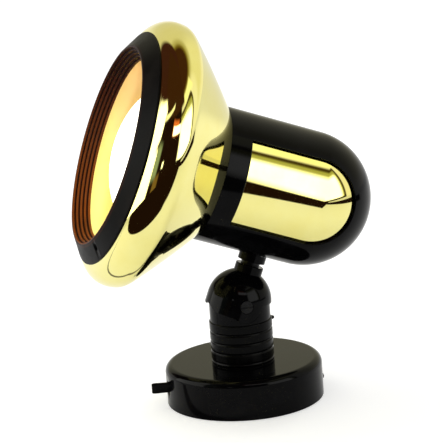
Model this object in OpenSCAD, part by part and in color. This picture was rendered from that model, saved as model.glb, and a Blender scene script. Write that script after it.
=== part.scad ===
// Wall spot lamp: a round canopy with a side toggle, a ribbed stem that turns on it,
// a tilting hood joint, and a bullet-shaped head with a flared reflector shade.
// Origin at the middle of the face that lies on the wall, +Z out of the wall along the stem.
// The head looks towards -Y and tilts about an axis along X.

/* [Canopy] */
// Diameter of the canopy
base_d = 100; // [90:1:120]
// Height of the canopy
base_h = 25.5; // [25:0.5:32]
// Radius of the canopy's rounded upper edge
base_edge_r = 4.7; // [3:0.1:6]
// Side wall of the canopy
base_wall = 2.2; // [1.6:0.1:2.6]
// Thickness of the canopy's top
base_top = 2.5; // [2:0.1:3]

/* [Wall plate] */
// Thickness of the wall plate
plate_t = 1.5; // [1:0.1:2]
// Distance between the two fixing slots
slot_spacing = 60; // [50:1:66]
// Width of a fixing slot
slot_w = 4.5; // [4:0.1:5.5]
// Extra length of a fixing slot beyond its width
slot_extra = 5; // [3:0.5:7]
// Diameter of the hole for the mains cable
cable_hole_d = 16; // [12:0.5:18]

/* [Cover screw] */
// Height of the cover screw above the wall
cover_screw_z = 6.5; // [5:0.5:8]
// Diameter of the cover screw's shank
cover_screw_d = 3; // [2.5:0.1:3.5]
// Diameter of the cover screw's head
cover_screw_head_d = 5; // [4.6:0.1:5.6]
// Height of the cover screw's head
cover_screw_head_h = 2.4; // [1.8:0.1:3]

/* [Toggle switch] */
// Height of the toggle's middle above the wall
toggle_z = 12.8; // [12.6:0.1:14]
// How far the toggle reaches out of the canopy
toggle_reach = 10.4; // [9:0.2:16]
// Height of the flat toggle blade at the canopy
toggle_blade_h = 6.2; // [5:0.1:7]
// How much higher the blade is at its tip
toggle_flare = 0.6; // [0:0.1:1]
// Thickness of the toggle blade
toggle_t = 2.6; // [2:0.1:3]
// Swing of the toggle to each side of straight
toggle_swing = 10; // [8:0.5:12]
// Distance of the toggle's pivot inside the canopy's outer face
toggle_depth = 8.5; // [8:0.1:9]

/* [Ribbed stem] */
// Diameter of the stem over its ribs
stem_d = 40; // [38.8:0.2:42]
// Length of the ribbed part
stem_len = 26.4; // [26:0.1:32]
// Distance from one rib to the next
rib_pitch = 6.3; // [5:0.1:6.4]
// Depth of the grooves between the ribs
groove_depth = 0.5; // [0.3:0.05:0.7]
// Width of the grooves between the ribs
groove_w = 2; // [1:0.1:2.6]
// Wall of the ribbed sleeve
sleeve_wall = 3; // [2.6:0.1:3.4]
// Floor of the ribbed sleeve
sleeve_floor = 4; // [3:0.2:5]

/* [Turning fit] */
// Diameter of the threaded tubes
tube_d = 10; // [9:0.2:11]
// Wall of the threaded tubes
tube_wall = 1.2; // [1:0.1:1.5]
// Width of the nuts across their flats
nut_af = 14; // [13:0.2:15]
// Thickness of the nuts
nut_t = 3.5; // [3:0.1:4]
// Gap between the turning stem and the canopy
turn_gap = 0.3; // [0.2:0.05:0.5]

/* [Tilting joint] */
// Height of the tilt axis above the wall
pivot_z = 64.2; // [64:0.2:72]
// Radius of the smooth joint cup
cup_r = 19.3; // [19:0.1:19.6]
// Outer radius of the tilting hood
hood_r = 20.6; // [20.5:0.1:21.5]
// Wall of the tilting hood
hood_wall = 0.7; // [0.5:0.05:0.8]
// How far the hood reaches below the tilt axis at its front
hood_front_drop = 5.3; // [4:0.1:7]
// How far the hood reaches below the tilt axis at its sides
hood_side_drop = 9; // [8:0.1:9.5]
// Radius of the arch in the hood's front edge
hood_arch_r = 20; // [18:0.5:24]
// Height angle of the hood's rear edge above the tilt axis
hood_rear_lift = 14.4; // [12:0.2:16]
// Radius of the hood's round ears
ear_r = 10.2; // [9.8:0.1:10.6]
// Tilt of the head above square to the stem, as photographed
head_tilt = 21.5; // [0:0.5:24]
// Diameter of the pivot bolt
pivot_d = 5; // [4:0.1:6]

/* [Neck] */
// Radius of the collar on the hood
collar_r = 9; // [8.8:0.1:10]
// Height of the collar's upper face above the tilt axis
collar_top = 23.8; // [22.6:0.1:24]
// Radius of the narrow waist
waist_r = 6; // [5.8:0.1:7]
// Length of the narrow waist
waist_len = 2.6; // [1:0.1:3]
// Radius of the boss under the housing
boss_r = 8.8; // [8.6:0.1:10]
// Length of the boss in the middle, up to the housing
boss_len = 4.5; // [4.3:0.1:8]

/* [Housing] */
// Radius of the bullet housing
housing_r = 42.9; // [42.5:0.1:45]
// Wall of the bullet housing
housing_wall = 1.5; // [1.2:0.1:1.6]
// Front edge of the housing, ahead of the neck
housing_front = 45.1; // [42:0.1:48]
// Centre of the round rear end, behind the neck
housing_back = 20.6; // [18:0.2:24]
// Front edge of the side windows, ahead of the neck
window_front = 31.3; // [28:0.1:34]
// Centre of the windows' round end, behind the neck
window_back = 16.3; // [14:0.1:18]
// Half height of the side windows
window_half = 26.5; // [24:0.1:28]
// How far the windows sit above the head's axis
window_lift = 3.3; // [0:0.1:4]
// Wall of the inner can
can_wall = 0.8; // [0.6:0.1:1]

/* [Shade] */
// Half angle of the shade's cone
cone_angle = 47.75; // [44:0.25:50]
// Greatest diameter of the shade
shade_d = 169; // [165:1:180]
// Radius of the rolled lip
lip_r = 15; // [14:0.1:16]
// Sheet thickness of the shade
shade_wall = 0.9; // [0.7:0.1:1.2]

/* [Front ring] */
// How far the ring's front edge lies inside the middle of the lip
ring_front_in = 5.8; // [4.6:0.1:7.4]
// How far the ring's front edge stands ahead of the lip
ring_front = 7.2; // [6:0.1:9]
// Width of the ring's throat, from its front edge to its clear opening
ring_throat = 6.5; // [6:0.1:9]
// Number of steps inside the ring
ring_steps = 4; // [3:1:5]
// Width of the smooth land inside the front edge
ring_land = 1.4; // [1:0.1:2]

/* [Lamp] */
// Diameter of the reflector lamp
bulb_d = 95; // [92:1:96]
// Widest place of the reflector lamp, ahead of the neck
bulb_wide = 76; // [74:0.5:77]
// How far its face bulges ahead of the widest place
bulb_bulge = 29; // [26:0.5:30]
// Diameter of the screw cap
cap_d = 26.2; // [26:0.1:26.6]
// Length of the screw cap
cap_len = 24; // [22:0.5:26]

/* [Hidden] */
$fn = 96;

// Clearances
fit = 0.05;
slip = 0.1;
play = 0.3;
seat = 0.1;
reach = 200;

// Main places
head_rise = collar_top + waist_len + boss_len + housing_r;

// Canopy and wall plate
base_r = base_d / 2;
base_in_r = base_r - base_wall;
base_ceiling = base_h - base_top;
plate_r = base_in_r - 0.4;
tab_t = 1.5;
tab_w = 12;
tab_h = cover_screw_z + 5;
tab_y = plate_r - tab_t - 0.4;
cover_screw_len = 7;
slot_depth_extra = 0.4;

// Terminal block
block_w = 22;
block_d = 11;
block_h = 9;
block_y = 27;
pole_pitch = 10;
pole_screw_r = 1.6;
pole_screw_h = 2.6;

// Switch and toggle
toggle_y = -(base_r - toggle_depth);
hub_r = 3.2;
hub_h = toggle_blade_h + 1;
switch_w = 18;
switch_front = toggle_y - hub_r - 0.6;
switch_len = 16;
switch_h = 12;
guide_t = 1.6;
tag_w = 4;
tag_t = 0.8;
tag_len = 5;
tag_pitch = 8;
toggle_slot_half = toggle_depth * sin(toggle_swing) + toggle_t / 2 + 0.5;
toggle_tip_y = -(base_r + toggle_reach);

// Stem
stem_r = stem_d / 2;
sleeve_z = base_h + turn_gap;
sleeve_top = sleeve_z + stem_len;
sleeve_in_r = stem_r - sleeve_wall;
tube_r = tube_d / 2;
tube_bore_r = tube_r - tube_wall;
nut_r = nut_af / sqrt(3);
bush_wall = 3;
bush_flange_w = 3;
bush_r = tube_r + bush_wall;
bush_flange_r = bush_r + bush_flange_w;
bush_flange_t = 1;
spring_t = 1.5;
spring_r = tube_r + 4;
spring_z = base_ceiling - bush_flange_t - slip - spring_t;
pan_nut_z = spring_z - slip - nut_t;
tube_foot_z = pan_nut_z - 2;
sleeve_floor_top = sleeve_z + sleeve_floor;
tube_head_z = sleeve_floor_top + nut_t + 1.5;
groove_count = floor(stem_len / rib_pitch);

// Joint
hood_in_r = hood_r - hood_wall;
spigot_len = 11;
spigot_r = sleeve_in_r - 0.2;
cup_bore_r = 14;
cup_top = 9;
ear_gap = 0.4;
ear_floor = cup_r - 2.2;
washer_t = 0.7;
washer_r = 6;
ear_in = ear_floor + washer_t + slip;
bolt_head_r = 4;
bolt_head_t = 1.4;
bolt_seat = ear_in + 0.8;
bolt_end = bolt_seat + bolt_head_t;
nub_z = sleeve_top - 2.3;
nub_r = 1.5;
nub_out = 2;
nub_shank_r = 1.2;
lead_side = 7;
lead_bend = 14;
arch_z = -hood_front_drop - hood_arch_r;
crown_r = 9;
crown_flat = 17.4;

// Neck
boss_low = collar_top + waist_len;
can_r = housing_r - housing_wall - play;
can_in_r = can_r - can_wall;
saddle_top = head_rise - can_in_r + 3;
saddle_len = 24;
saddle_w = 22;
bracket_t = 1.6;
bracket_w = 18;
bracket_bend_a = -26;
neck_nut_low = crown_flat - nut_t;
neck_nut_high = saddle_top + bracket_t;
neck_low = neck_nut_low - 1.5;
neck_high = neck_nut_high + nut_t + 1.5;
tube_hole_r = tube_r + play;

// Shade
shade_r = shade_d / 2;
lip_ring_r = shade_r - lip_r;
shade_back = housing_front + seat;
shade_back_r = housing_r;
tangent_r = lip_ring_r + lip_r * cos(cone_angle);
tangent_a = shade_back + (tangent_r - shade_back_r) / tan(cone_angle);
lip_a = tangent_a + lip_r * sin(cone_angle);
lip_front = lip_a + lip_r;
flange_w = 4.8;
flange_in_r = can_in_r - flange_w;
flange_t = 0.8;
lip_flange_w = 8.9;
lip_flange_r = lip_ring_r - lip_flange_w;
lap_angle = 14;
seam_angle = 0.4;
shade_screw_r = (flange_in_r + can_in_r) / 2;
shade_screw_count = 3;
shade_screw_shank_r = 1.2;
shade_screw_head_r = 2;

// Front ring
ring_front_a = lip_front + ring_front;
ring_front_r = lip_ring_r - ring_front_in;
ring_hole_r = ring_front_r - ring_throat;
ring_outer_r = lip_ring_r + 4.6;
ring_edge = 0.3;
ring_step_depth = 2.2;
ring_back = lip_front - 3.2;
ring_screw_angle = 147.5;
ring_screw_r = lip_ring_r - 1.7;
ring_screw_head_r = 1.7;
ring_screw_shank_r = 1.2;

// Lamp and holder
bulb_r = bulb_d / 2;
bulb_front = bulb_wide + bulb_bulge;
bulb_neck_r = 14;
bulb_neck_len = 14;
bulb_wall = 1;
bulb_swell = [[0.38, 0.354], [0.62, 0.62], [0.83, 0.797], [0.96, 0.924]];
cap_r = cap_d / 2;
cap_back = -27;
cap_front = cap_back + cap_len;
tip_len = 3;
holder_r = 19.5;
holder_front = cap_front + 2;
holder_bore_r = cap_r + 1.35;
holder_floor = cap_back - tip_len - 1.2;
holder_back = holder_floor - 8;
hub_len = 5;
hub_outer_r = 9;
plate_front = holder_back - hub_len - seat;
bracket_back = plate_front - bracket_t;
bracket_room = can_in_r - bracket_t;
bracket_depth = bracket_back + housing_back;
bracket_bend_u = bracket_t - sqrt(pow(bracket_room, 2) - pow(bracket_depth, 2) - pow(bracket_w / 2, 2));
shell_t = 0.8;

// Leads
lead_r = 1.2;
lead_x = 1.9;

// Turns the z axis into the head's own forward axis, ahead of the neck
module on_axis() {
    translate([0, 0, head_rise])
        rotate([90, 0, 0])
            children();
}

// Places children on the tilt axis, tilted as the head stands
module on_head() {
    translate([0, 0, pivot_z])
        rotate([-head_tilt, 0, 0])
            children();
}

// A round bar along X, from x1 to x2
module bar_x(x1, x2, r) {
    translate([x1, 0, 0])
        rotate([0, 90, 0])
            cylinder(r = r, h = x2 - x1);
}

// A straight round piece between two points
module link(from, to, r) {
    d = to - from;
    len = norm(d);
    translate(from)
        rotate([0, acos(d[2] / len), atan2(d[1], d[0])])
            cylinder(r = r, h = len, $fn = 24);
}

// A lead along a list of points, round at its bends
module lead(points) {
    for (i = [0 : len(points) - 2])
        link(points[i], points[i + 1], lead_r);
    for (i = [1 : len(points) - 2])
        translate(points[i])
            sphere(r = lead_r + fit, $fn = 24);
}

// A hexagon nut on the z axis
module nut(z, bore_r) {
    translate([0, 0, z])
        difference() {
            cylinder(r = nut_r, h = nut_t, $fn = 6);
            translate([0, 0, -1])
                cylinder(r = bore_r, h = nut_t + 2);
        }
}

// A plain tube on the z axis
module tube(z1, z2, outer_r, inner_r) {
    rotate_extrude()
        translate([inner_r, z1])
            square([outer_r - inner_r, z2 - z1]);
}

// Half outline of a canopy with a rounded upper edge
module canopy_outline(r, h, edge) {
    square([r - edge, h]);
    square([r, h - edge]);
    translate([r - edge, h - edge])
        intersection() {
            circle(r = edge);
            square(edge);
        }
}

module wall_plate() {
    color("silver")
        difference() {
            union() {
                cylinder(r = plate_r, h = plate_t);
                translate([-tab_w / 2, tab_y, 0])
                    cube([tab_w, tab_t, tab_h]);
            }
            translate([0, 0, -1])
                cylinder(r = cable_hole_d / 2, h = plate_t + 2);
            for (side = [-1, 1])
                translate([side * slot_spacing / 2, 0, -1])
                    slot_solid();
            translate([0, tab_y - 1, cover_screw_z])
                rotate([-90, 0, 0])
                    cylinder(r = cover_screw_d / 2 + slip, h = tab_t + 2);
        }
}

// A round-ended slot along X
module slot_solid() {
    for (end = [-1, 1])
        translate([end * slot_extra / 2, 0, 0])
            cylinder(r = slot_w / 2, h = plate_t + 2);
    translate([-slot_extra / 2, -slot_w / 2, 0])
        cube([slot_extra, slot_w, plate_t + 2]);
}

module base_cover() {
    slot_low = toggle_z - toggle_blade_h / 2 - toggle_flare - slot_depth_extra;
    slot_high = toggle_z + toggle_blade_h / 2 + toggle_flare + slot_depth_extra;
    color([0.06, 0.06, 0.06])
        difference() {
            union() {
                rotate_extrude()
                    difference() {
                        canopy_outline(base_r, base_h, base_edge_r);
                        translate([0, -base_top])
                            canopy_outline(base_in_r, base_h, base_edge_r - base_wall / 2);
                        translate([-1, 0])
                            square([bush_r + fit + 1, reach]);
                    }
                for (side = [-1, 1])
                    switch_guide(side);
            }
            translate([-toggle_slot_half, -base_r - 2, slot_low])
                cube([2 * toggle_slot_half, base_wall + 4, slot_high - slot_low]);
            translate([0, base_in_r - 2, cover_screw_z])
                rotate([-90, 0, 0])
                    cylinder(r = cover_screw_d / 2 + slip, h = base_wall + 4);
        }
}

// A rib inside the canopy that holds one side of the switch
module switch_guide(side) {
    guide_x = side > 0 ? switch_w / 2 + play : -switch_w / 2 - play - guide_t;
    translate([guide_x, switch_front + 1, toggle_z - switch_h / 2])
        cube([guide_t, switch_len - 4, base_ceiling + 0.5 - toggle_z + switch_h / 2]);
}

module cover_screw() {
    color("dimgray")
        translate([0, base_r, cover_screw_z])
            rotate([-90, 0, 0])
                difference() {
                    union() {
                        translate([0, 0, slip])
                            cylinder(r = cover_screw_head_d / 2, h = cover_screw_head_h);
                        translate([0, 0, slip - cover_screw_len])
                            cylinder(r = cover_screw_d / 2, h = cover_screw_len);
                    }
                    translate([-cover_screw_head_d, -0.4, slip + cover_screw_head_h - 0.9])
                        cube([2 * cover_screw_head_d, 0.8, 2]);
                }
}

module terminal_block() {
    color("ivory")
        translate([0, block_y, plate_t])
            difference() {
                translate([-block_w / 2, -block_d / 2, 0])
                    cube([block_w, block_d, block_h]);
                pole_places() {
                    translate([0, 0, block_h - 5])
                        cylinder(r = pole_screw_r + slip, h = 6);
                    translate([0, -block_d, block_h - 5])
                        rotate([-90, 0, 0])
                            cylinder(r = lead_r + slip, h = block_d);
                }
            }
}

// Repeats children at each pole of the terminal block
module pole_places() {
    for (i = [-1, 1])
        translate([i * pole_pitch / 2, 0, 0])
            children();
}

module terminal_screws() {
    color("gold")
        translate([0, block_y, plate_t])
            pole_places()
                translate([0, 0, block_h - pole_screw_h - 0.5])
                    difference() {
                        cylinder(r = pole_screw_r, h = pole_screw_h);
                        translate([-pole_screw_r, -0.3, pole_screw_h - 0.8])
                            cube([2 * pole_screw_r, 0.6, 2]);
                    }
}

module switch_body() {
    color([0.75, 0.72, 0.65])
        difference() {
            translate([-switch_w / 2, switch_front, toggle_z - switch_h / 2])
                cube([switch_w, switch_len, switch_h]);
            translate([0, toggle_y, toggle_z - hub_h / 2 - play])
                cylinder(r = hub_r + play, h = hub_h + 2 * play);
            translate([-hub_r - play, switch_front - 1, toggle_z - hub_h / 2 - play])
                cube([2 * (hub_r + play), toggle_y - switch_front + 1, hub_h + 2 * play]);
            translate([0, toggle_y, toggle_z - switch_h / 2 - 1])
                cylinder(r = 1 + fit, h = switch_h + 2);
        }
}

module switch_tags() {
    color("gold")
        for (i = [-1, 1])
            translate([i * tag_pitch / 2 - tag_w / 2, switch_front + switch_len, toggle_z - tag_t / 2])
                cube([tag_w, tag_len, tag_t]);
}

module toggle_lever() {
    color([0.05, 0.05, 0.05])
        translate([0, toggle_y, toggle_z])
            rotate([0, 0, -toggle_swing])
                union() {
                    translate([0, 0, -hub_h / 2])
                        cylinder(r = hub_r, h = hub_h);
                    translate([0, 0, -switch_h / 2])
                        cylinder(r = 1, h = switch_h);
                    rotate([90, 0, -90])
                        translate([0, 0, -toggle_t / 2])
                            linear_extrude(height = toggle_t)
                                blade_outline();
                }
}

// Side outline of the toggle blade, running out along +x
module blade_outline() {
    root = toggle_blade_h / 2;
    tip = root + toggle_flare / 2;
    tip_x = toggle_y - toggle_tip_y;
    polygon([[0, -root], [tip_x, -tip], [tip_x, tip], [0, root]]);
}

module pan_bush() {
    color("ivory")
        rotate_extrude()
            translate([tube_r + fit, base_ceiling - bush_flange_t])
                union() {
                    square([bush_flange_r - tube_r - fit, bush_flange_t]);
                    square([bush_r - tube_r - fit, base_top + bush_flange_t]);
                }
}

module base_leads() {
    lead_z = plate_t + block_h - 5;
    block_front = block_y - block_d / 2;
    tag_end = switch_front + switch_len + tag_len;
    side_x = pole_pitch / 2 + 3.4;
    color("saddlebrown")
        for (i = [-1, 1]) {
            lead([[i * pole_pitch / 2, block_front + 2, lead_z],
                [i * pole_pitch / 2, 7, lead_z],
                [i * lead_x, 0, lead_z + 4],
                [i * lead_x, 0, tube_foot_z]]);
            lead([[i * side_x, block_front - seat, lead_z + 2],
                [i * side_x, block_front - 3, lead_z + 2],
                [i * tag_pitch / 2, tag_end + 5, toggle_z],
                [i * tag_pitch / 2, tag_end + seat, toggle_z]]);
        }
}

module ribbed_sleeve() {
    color([0.05, 0.05, 0.05])
        difference() {
            rotate_extrude()
                difference() {
                    translate([tube_r + fit, sleeve_z])
                        square([stem_r - tube_r - fit, stem_len]);
                    translate([0, sleeve_floor_top])
                        square([sleeve_in_r, stem_len]);
                    for (i = [1 : groove_count])
                        translate([0, sleeve_top - i * rib_pitch])
                            rib_groove();
                }
            translate([0, 0, nub_z])
                rotate([-90, 0, 0])
                    cylinder(r = nub_shank_r + slip, h = stem_r + 1);
        }
}

// One round-bottomed groove in the stem's outline
module rib_groove() {
    arc_r = (groove_w * groove_w / 4 + groove_depth * groove_depth) / (2 * groove_depth);
    translate([stem_r - groove_depth + arc_r, 0])
        circle(r = arc_r);
}

module pan_tube() {
    color("gold")
        tube(tube_foot_z, tube_head_z, tube_r, tube_bore_r);
}

module pan_nuts() {
    color("silver")
        for (z = [pan_nut_z, sleeve_floor_top])
            nut(z, tube_r + fit);
}

module pan_spring_washer() {
    color("gray")
        tube(spring_z, spring_z + spring_t, spring_r, tube_r + play);
}

module joint_cup() {
    color([0.06, 0.06, 0.06])
        difference() {
            rotate_extrude()
                cup_outline();
            for (side = [0, 1])
                translate([0, 0, pivot_z])
                    mirror([side, 0, 0])
                        bar_x(ear_floor, stem_d, ear_r + ear_gap);
            translate([0, 0, pivot_z])
                bar_x(-stem_d, stem_d, pivot_d / 2 + fit);
            translate([0, 0, nub_z])
                rotate([-90, 0, 0])
                    cylinder(r = nub_shank_r + slip, h = stem_d);
        }
}

// Half section of the joint cup: spigot, straight wall and truncated ball
module cup_outline() {
    cup_z = sleeve_top + seat;
    difference() {
        union() {
            translate([0, cup_z])
                square([cup_r, pivot_z - cup_z]);
            translate([0, pivot_z])
                intersection() {
                    circle(r = cup_r);
                    square([stem_d, cup_top]);
                }
            translate([0, sleeve_top - spigot_len])
                square([spigot_r, spigot_len + 1]);
        }
        translate([-1, sleeve_top - spigot_len - 1])
            square([cup_bore_r + 1, reach]);
    }
}

module sleeve_screw() {
    nub_start = stem_r + slip;
    color("dimgray")
        translate([0, 0, nub_z])
            rotate([-90, 0, 0])
                union() {
                    translate([0, 0, cup_bore_r + 0.5])
                        cylinder(r = nub_shank_r, h = nub_start - cup_bore_r);
                    translate([0, 0, nub_start])
                        cylinder(r1 = nub_r, r2 = nub_r / 2, h = nub_out);
                }
}

module pivot_bolt() {
    color("silver")
        translate([0, 0, pivot_z])
            difference() {
                union() {
                    bar_x(-bolt_end, bolt_seat + bolt_head_t / 2, pivot_d / 2);
                    bar_x(bolt_seat, bolt_seat + bolt_head_t, bolt_head_r);
                }
                translate([bolt_seat + bolt_head_t - 0.6, -bolt_head_r, -0.5])
                    cube([2, 2 * bolt_head_r, 1]);
            }
}

module pivot_nut() {
    color("silver")
        translate([-bolt_seat, 0, pivot_z])
            rotate([0, -90, 0])
                difference() {
                    cylinder(r = bolt_head_r, h = bolt_head_t, $fn = 6);
                    translate([0, 0, -1])
                        cylinder(r = pivot_d / 2 + fit, h = bolt_head_t + 2);
                }
}

module friction_washers() {
    color("gray")
        for (side = [0, 1])
            translate([0, 0, pivot_z])
                mirror([side, 0, 0])
                    difference() {
                        bar_x(ear_floor, ear_floor + washer_t, washer_r);
                        bar_x(ear_floor - 1, ear_floor + washer_t + 1, pivot_d / 2 + slip);
                    }
}

module stem_leads() {
    color("saddlebrown")
        for (i = [-1, 1])
            lead([[i * lead_x, 0, tube_foot_z + seat],
                [i * lead_x, 0, tube_head_z + 3 * lead_r],
                [i * lead_x, lead_side, pivot_z - lead_bend],
                [i * lead_x, lead_side, pivot_z + 1]]);
}

module joint_hood() {
    color([0.07, 0.07, 0.07])
        on_head()
            difference() {
                rotate_extrude()
                    dome_outline(hood_r, ear_r + 1, tube_r + fit);
                difference() {
                    hood_mouth();
                    for (side = [0, 1])
                        mirror([side, 0, 0])
                            bar_x(ear_in, stem_d, ear_r);
                }
                bar_x(-stem_d, stem_d, pivot_d / 2 + slip);
                for (side = [0, 1])
                    mirror([side, 0, 0])
                        bar_x(bolt_seat - slip, stem_d, bolt_head_r + play);
            }
}

// Half section of a dome with a skirt of the given drop, open around the axis
module dome_outline(r, drop, bore_r) {
    intersection() {
        union() {
            circle(r = r);
            translate([0, -drop])
                square([r, drop]);
        }
        translate([bore_r, -drop])
            square([r, drop + r + 1]);
    }
}

// Everything the joint cup and the trimmed edges take out of the hood
module hood_mouth() {
    rotate_extrude()
        difference() {
            dome_outline(hood_in_r, stem_d, 0);
            translate([0, crown_flat])
                square([crown_r, hood_r]);
        }
    translate([-stem_d, -stem_d, -hood_side_drop - stem_d])
        cube([2 * stem_d, 2 * stem_d, stem_d]);
    rotate([hood_rear_lift, 0, 0])
        translate([-stem_d, 0, -stem_d])
            cube([2 * stem_d, stem_d, stem_d]);
    translate([0, 0, arch_z])
        rotate([90, 0, 0])
            cylinder(r = hood_arch_r, h = stem_d);
}

module neck_collar() {
    collar_low = hood_r - 4;
    color([0.06, 0.06, 0.06])
        on_head()
            rotate_extrude()
                difference() {
                    translate([tube_r + fit, collar_low])
                        square([collar_r - tube_r - fit, collar_top - collar_low]);
                    circle(r = hood_r + seat);
                }
}

module neck_tube() {
    color("gold")
        on_head()
            rotate_extrude()
                union() {
                    translate([tube_bore_r, neck_low])
                        square([tube_wall, neck_high - neck_low]);
                    translate([tube_bore_r, collar_top])
                        square([waist_r - tube_bore_r, waist_len]);
                }
}

module neck_nuts() {
    color("silver")
        on_head()
            for (z = [neck_nut_low, neck_nut_high])
                nut(z, tube_r + fit);
}

module neck_saddle() {
    color("silver")
        on_head()
            difference() {
                intersection() {
                    translate([-saddle_w / 2, -saddle_len / 2, 0])
                        cube([saddle_w, saddle_len, saddle_top]);
                    on_axis()
                        translate([0, 0, -saddle_len])
                            cylinder(r = can_in_r - seat, h = 2 * saddle_len);
                }
                cylinder(r = tube_r + fit, h = stem_d * 2);
            }
}

module neck_boss() {
    color([0.06, 0.06, 0.06])
        on_head()
            difference() {
                translate([0, 0, boss_low])
                    cylinder(r = boss_r, h = head_rise - housing_r - boss_low + 4);
                on_axis()
                    translate([0, 0, -stem_d])
                        cylinder(r = housing_r + seat, h = 2 * stem_d);
                cylinder(r = tube_r + fit, h = stem_d * 2);
            }
}

// Half section of a bullet: a round rear end and a straight body
module bullet_outline(r, front) {
    translate([0, -housing_back])
        union() {
            square([r, housing_back + front]);
            intersection() {
                circle(r = r);
                translate([0, -r - 1])
                    square([r + 1, r + 1]);
            }
        }
}

// Outline of a side window, x along the head's axis and y up
module window_outline() {
    translate([-window_back, window_lift])
        circle(r = window_half);
    translate([-window_back, window_lift - window_half])
        square([window_back + window_front, 2 * window_half]);
}

module housing() {
    color([0.05, 0.05, 0.05])
        on_head()
            difference() {
                on_axis()
                    rotate_extrude()
                        difference() {
                            bullet_outline(housing_r, housing_front);
                            bullet_outline(housing_r - housing_wall, housing_front + 1);
                        }
                translate([0, 0, head_rise])
                    rotate([90, 0, -90])
                        linear_extrude(height = 2 * housing_r + 2, center = true)
                            window_outline();
                cylinder(r = tube_hole_r, h = head_rise);
            }
}

module inner_can() {
    color([0.85, 0.72, 0.35])
        on_head()
            difference() {
                on_axis()
                    difference() {
                        rotate_extrude()
                            difference() {
                                bullet_outline(can_r, housing_front);
                                bullet_outline(can_in_r, housing_front - flange_t);
                                square([flange_in_r, reach]);
                            }
                        shade_screw_places()
                            cylinder(r = shade_screw_shank_r + slip, h = reach);
                    }
                cylinder(r = tube_hole_r, h = head_rise);
            }
}

// Repeats children at each screw that holds the shade to the can
module shade_screw_places() {
    for (i = [0 : shade_screw_count - 1])
        rotate([0, 0, 90 + i * 360 / shade_screw_count])
            translate([shade_screw_r, 0, 0])
                children();
}

module holder_bracket() {
    color("silver")
        on_head()
            difference() {
                union() {
                    translate([0, 0, head_rise])
                        rotate([90, 0, -90])
                            linear_extrude(height = bracket_w, center = true)
                                bracket_outline();
                    on_axis()
                        translate([0, 0, bracket_back])
                            cylinder(r = bracket_w / 2, h = bracket_t);
                }
                cylinder(r = tube_r + fit, h = head_rise - bracket_w);
                on_axis()
                    translate([0, 0, bracket_back - 1])
                        cylinder(r = tube_r + fit, h = bracket_t + 2);
            }
}

// Side outline of the folded bracket, x ahead along the head's axis and y up
module bracket_outline() {
    low = saddle_top - head_rise;
    polygon([[saddle_len / 2, low], [saddle_len / 2, low + bracket_t], [bracket_bend_a, low + bracket_t],
        [plate_front, bracket_bend_u], [plate_front, 0], [bracket_back, 0],
        [bracket_back, bracket_bend_u - bracket_t], [bracket_bend_a, low]]);
}

module holder_nipple() {
    color("gold")
        on_head()
            on_axis()
                tube(bracket_back - nut_t - 1.5, holder_back - 1, tube_r, tube_bore_r);
}

module nipple_nut() {
    color("silver")
        on_head()
            on_axis()
                nut(bracket_back - nut_t, tube_r + fit);
}

module lampholder() {
    color("ivory")
        on_head()
            on_axis()
                rotate_extrude()
                    difference() {
                        polygon([[0, holder_back - hub_len], [hub_outer_r, holder_back - hub_len],
                            [hub_outer_r, holder_back], [holder_r - 4, holder_back], [holder_r, holder_back + 5],
                            [holder_r, holder_front], [0, holder_front]]);
                        translate([0, holder_floor])
                            square([holder_bore_r + shell_t, reach]);
                        translate([0, holder_back - hub_len - 1])
                            square([tube_r + fit, hub_len + 1]);
                    }
}

module holder_shell() {
    color("gold")
        on_head()
            on_axis()
                tube(holder_floor + 2, holder_front - 3, holder_bore_r + shell_t - fit, cap_r + play);
}

module holder_contact() {
    color("gold")
        on_head()
            on_axis()
                translate([-3, -8, holder_floor])
                    cube([6, 16, 1]);
}

module head_leads() {
    run_w = neck_high + 6;
    run_x = 2 * lead_x;
    holder_y = -(holder_back + 12);
    end_w = head_rise - holder_r - seat;
    color("saddlebrown")
        on_head()
            for (i = [-1, 1])
                lead([[i * lead_x, 0, neck_low + seat],
                    [i * lead_x, 0, neck_high + 3],
                    [i * run_x, 8, run_w],
                    [i * run_x, holder_y, run_w],
                    [i * run_x, holder_y, end_w]]);
}

// Half section of the shade: rear flange, cone, and its turn up to the widest place
module shade_outline() {
    across = shade_wall * [-cos(cone_angle), sin(cone_angle)];
    start = [shade_back_r, shade_back];
    tangent = [tangent_r, tangent_a];
    polygon([start, tangent, tangent + across, start + across]);
    translate([flange_in_r, shade_back])
        square([shade_back_r - flange_in_r, shade_wall]);
    rolled_sheet(lip_r, -cone_angle, -seam_angle);
}

// Half section of the lip: a lap inside the shade's edge, the roll, and the flange under the ring
module lip_outline() {
    lap_r = lip_r - shade_wall - fit;
    rolled_sheet(lap_r, -lap_angle, lap_angle / 4);
    translate([lip_ring_r + lap_r - shade_wall / 2, lip_a])
        square([shade_wall + fit, shade_wall]);
    rolled_sheet(lip_r, 0, 90);
    translate([lip_flange_r, lip_front - shade_wall])
        square([lip_ring_r - lip_flange_r, shade_wall]);
}

// Sheet rolled round the middle of the lip, from one angle to another
module rolled_sheet(r, from, to) {
    far = 2 * lip_r;
    translate([lip_ring_r, lip_a])
        intersection() {
            difference() {
                circle(r = r);
                circle(r = r - shade_wall);
            }
            polygon([[0, 0], far * [cos(from), sin(from)], far * [1, tan((from + to) / 2)],
                far * [cos(to), sin(to)]]);
        }
}

module shade() {
    color([0.87, 0.75, 0.38])
        on_head()
            on_axis()
                difference() {
                    rotate_extrude()
                        shade_outline();
                    shade_screw_places()
                        cylinder(r = shade_screw_shank_r + slip, h = shade_back + 3);
                }
}

module shade_lip() {
    color([0.87, 0.75, 0.38])
        on_head()
            on_axis()
                difference() {
                    rotate_extrude()
                        lip_outline();
                    ring_screw_places()
                        translate([0, 0, lip_front - 5])
                            cylinder(r = ring_screw_shank_r + slip, h = 10);
                }
}

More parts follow.
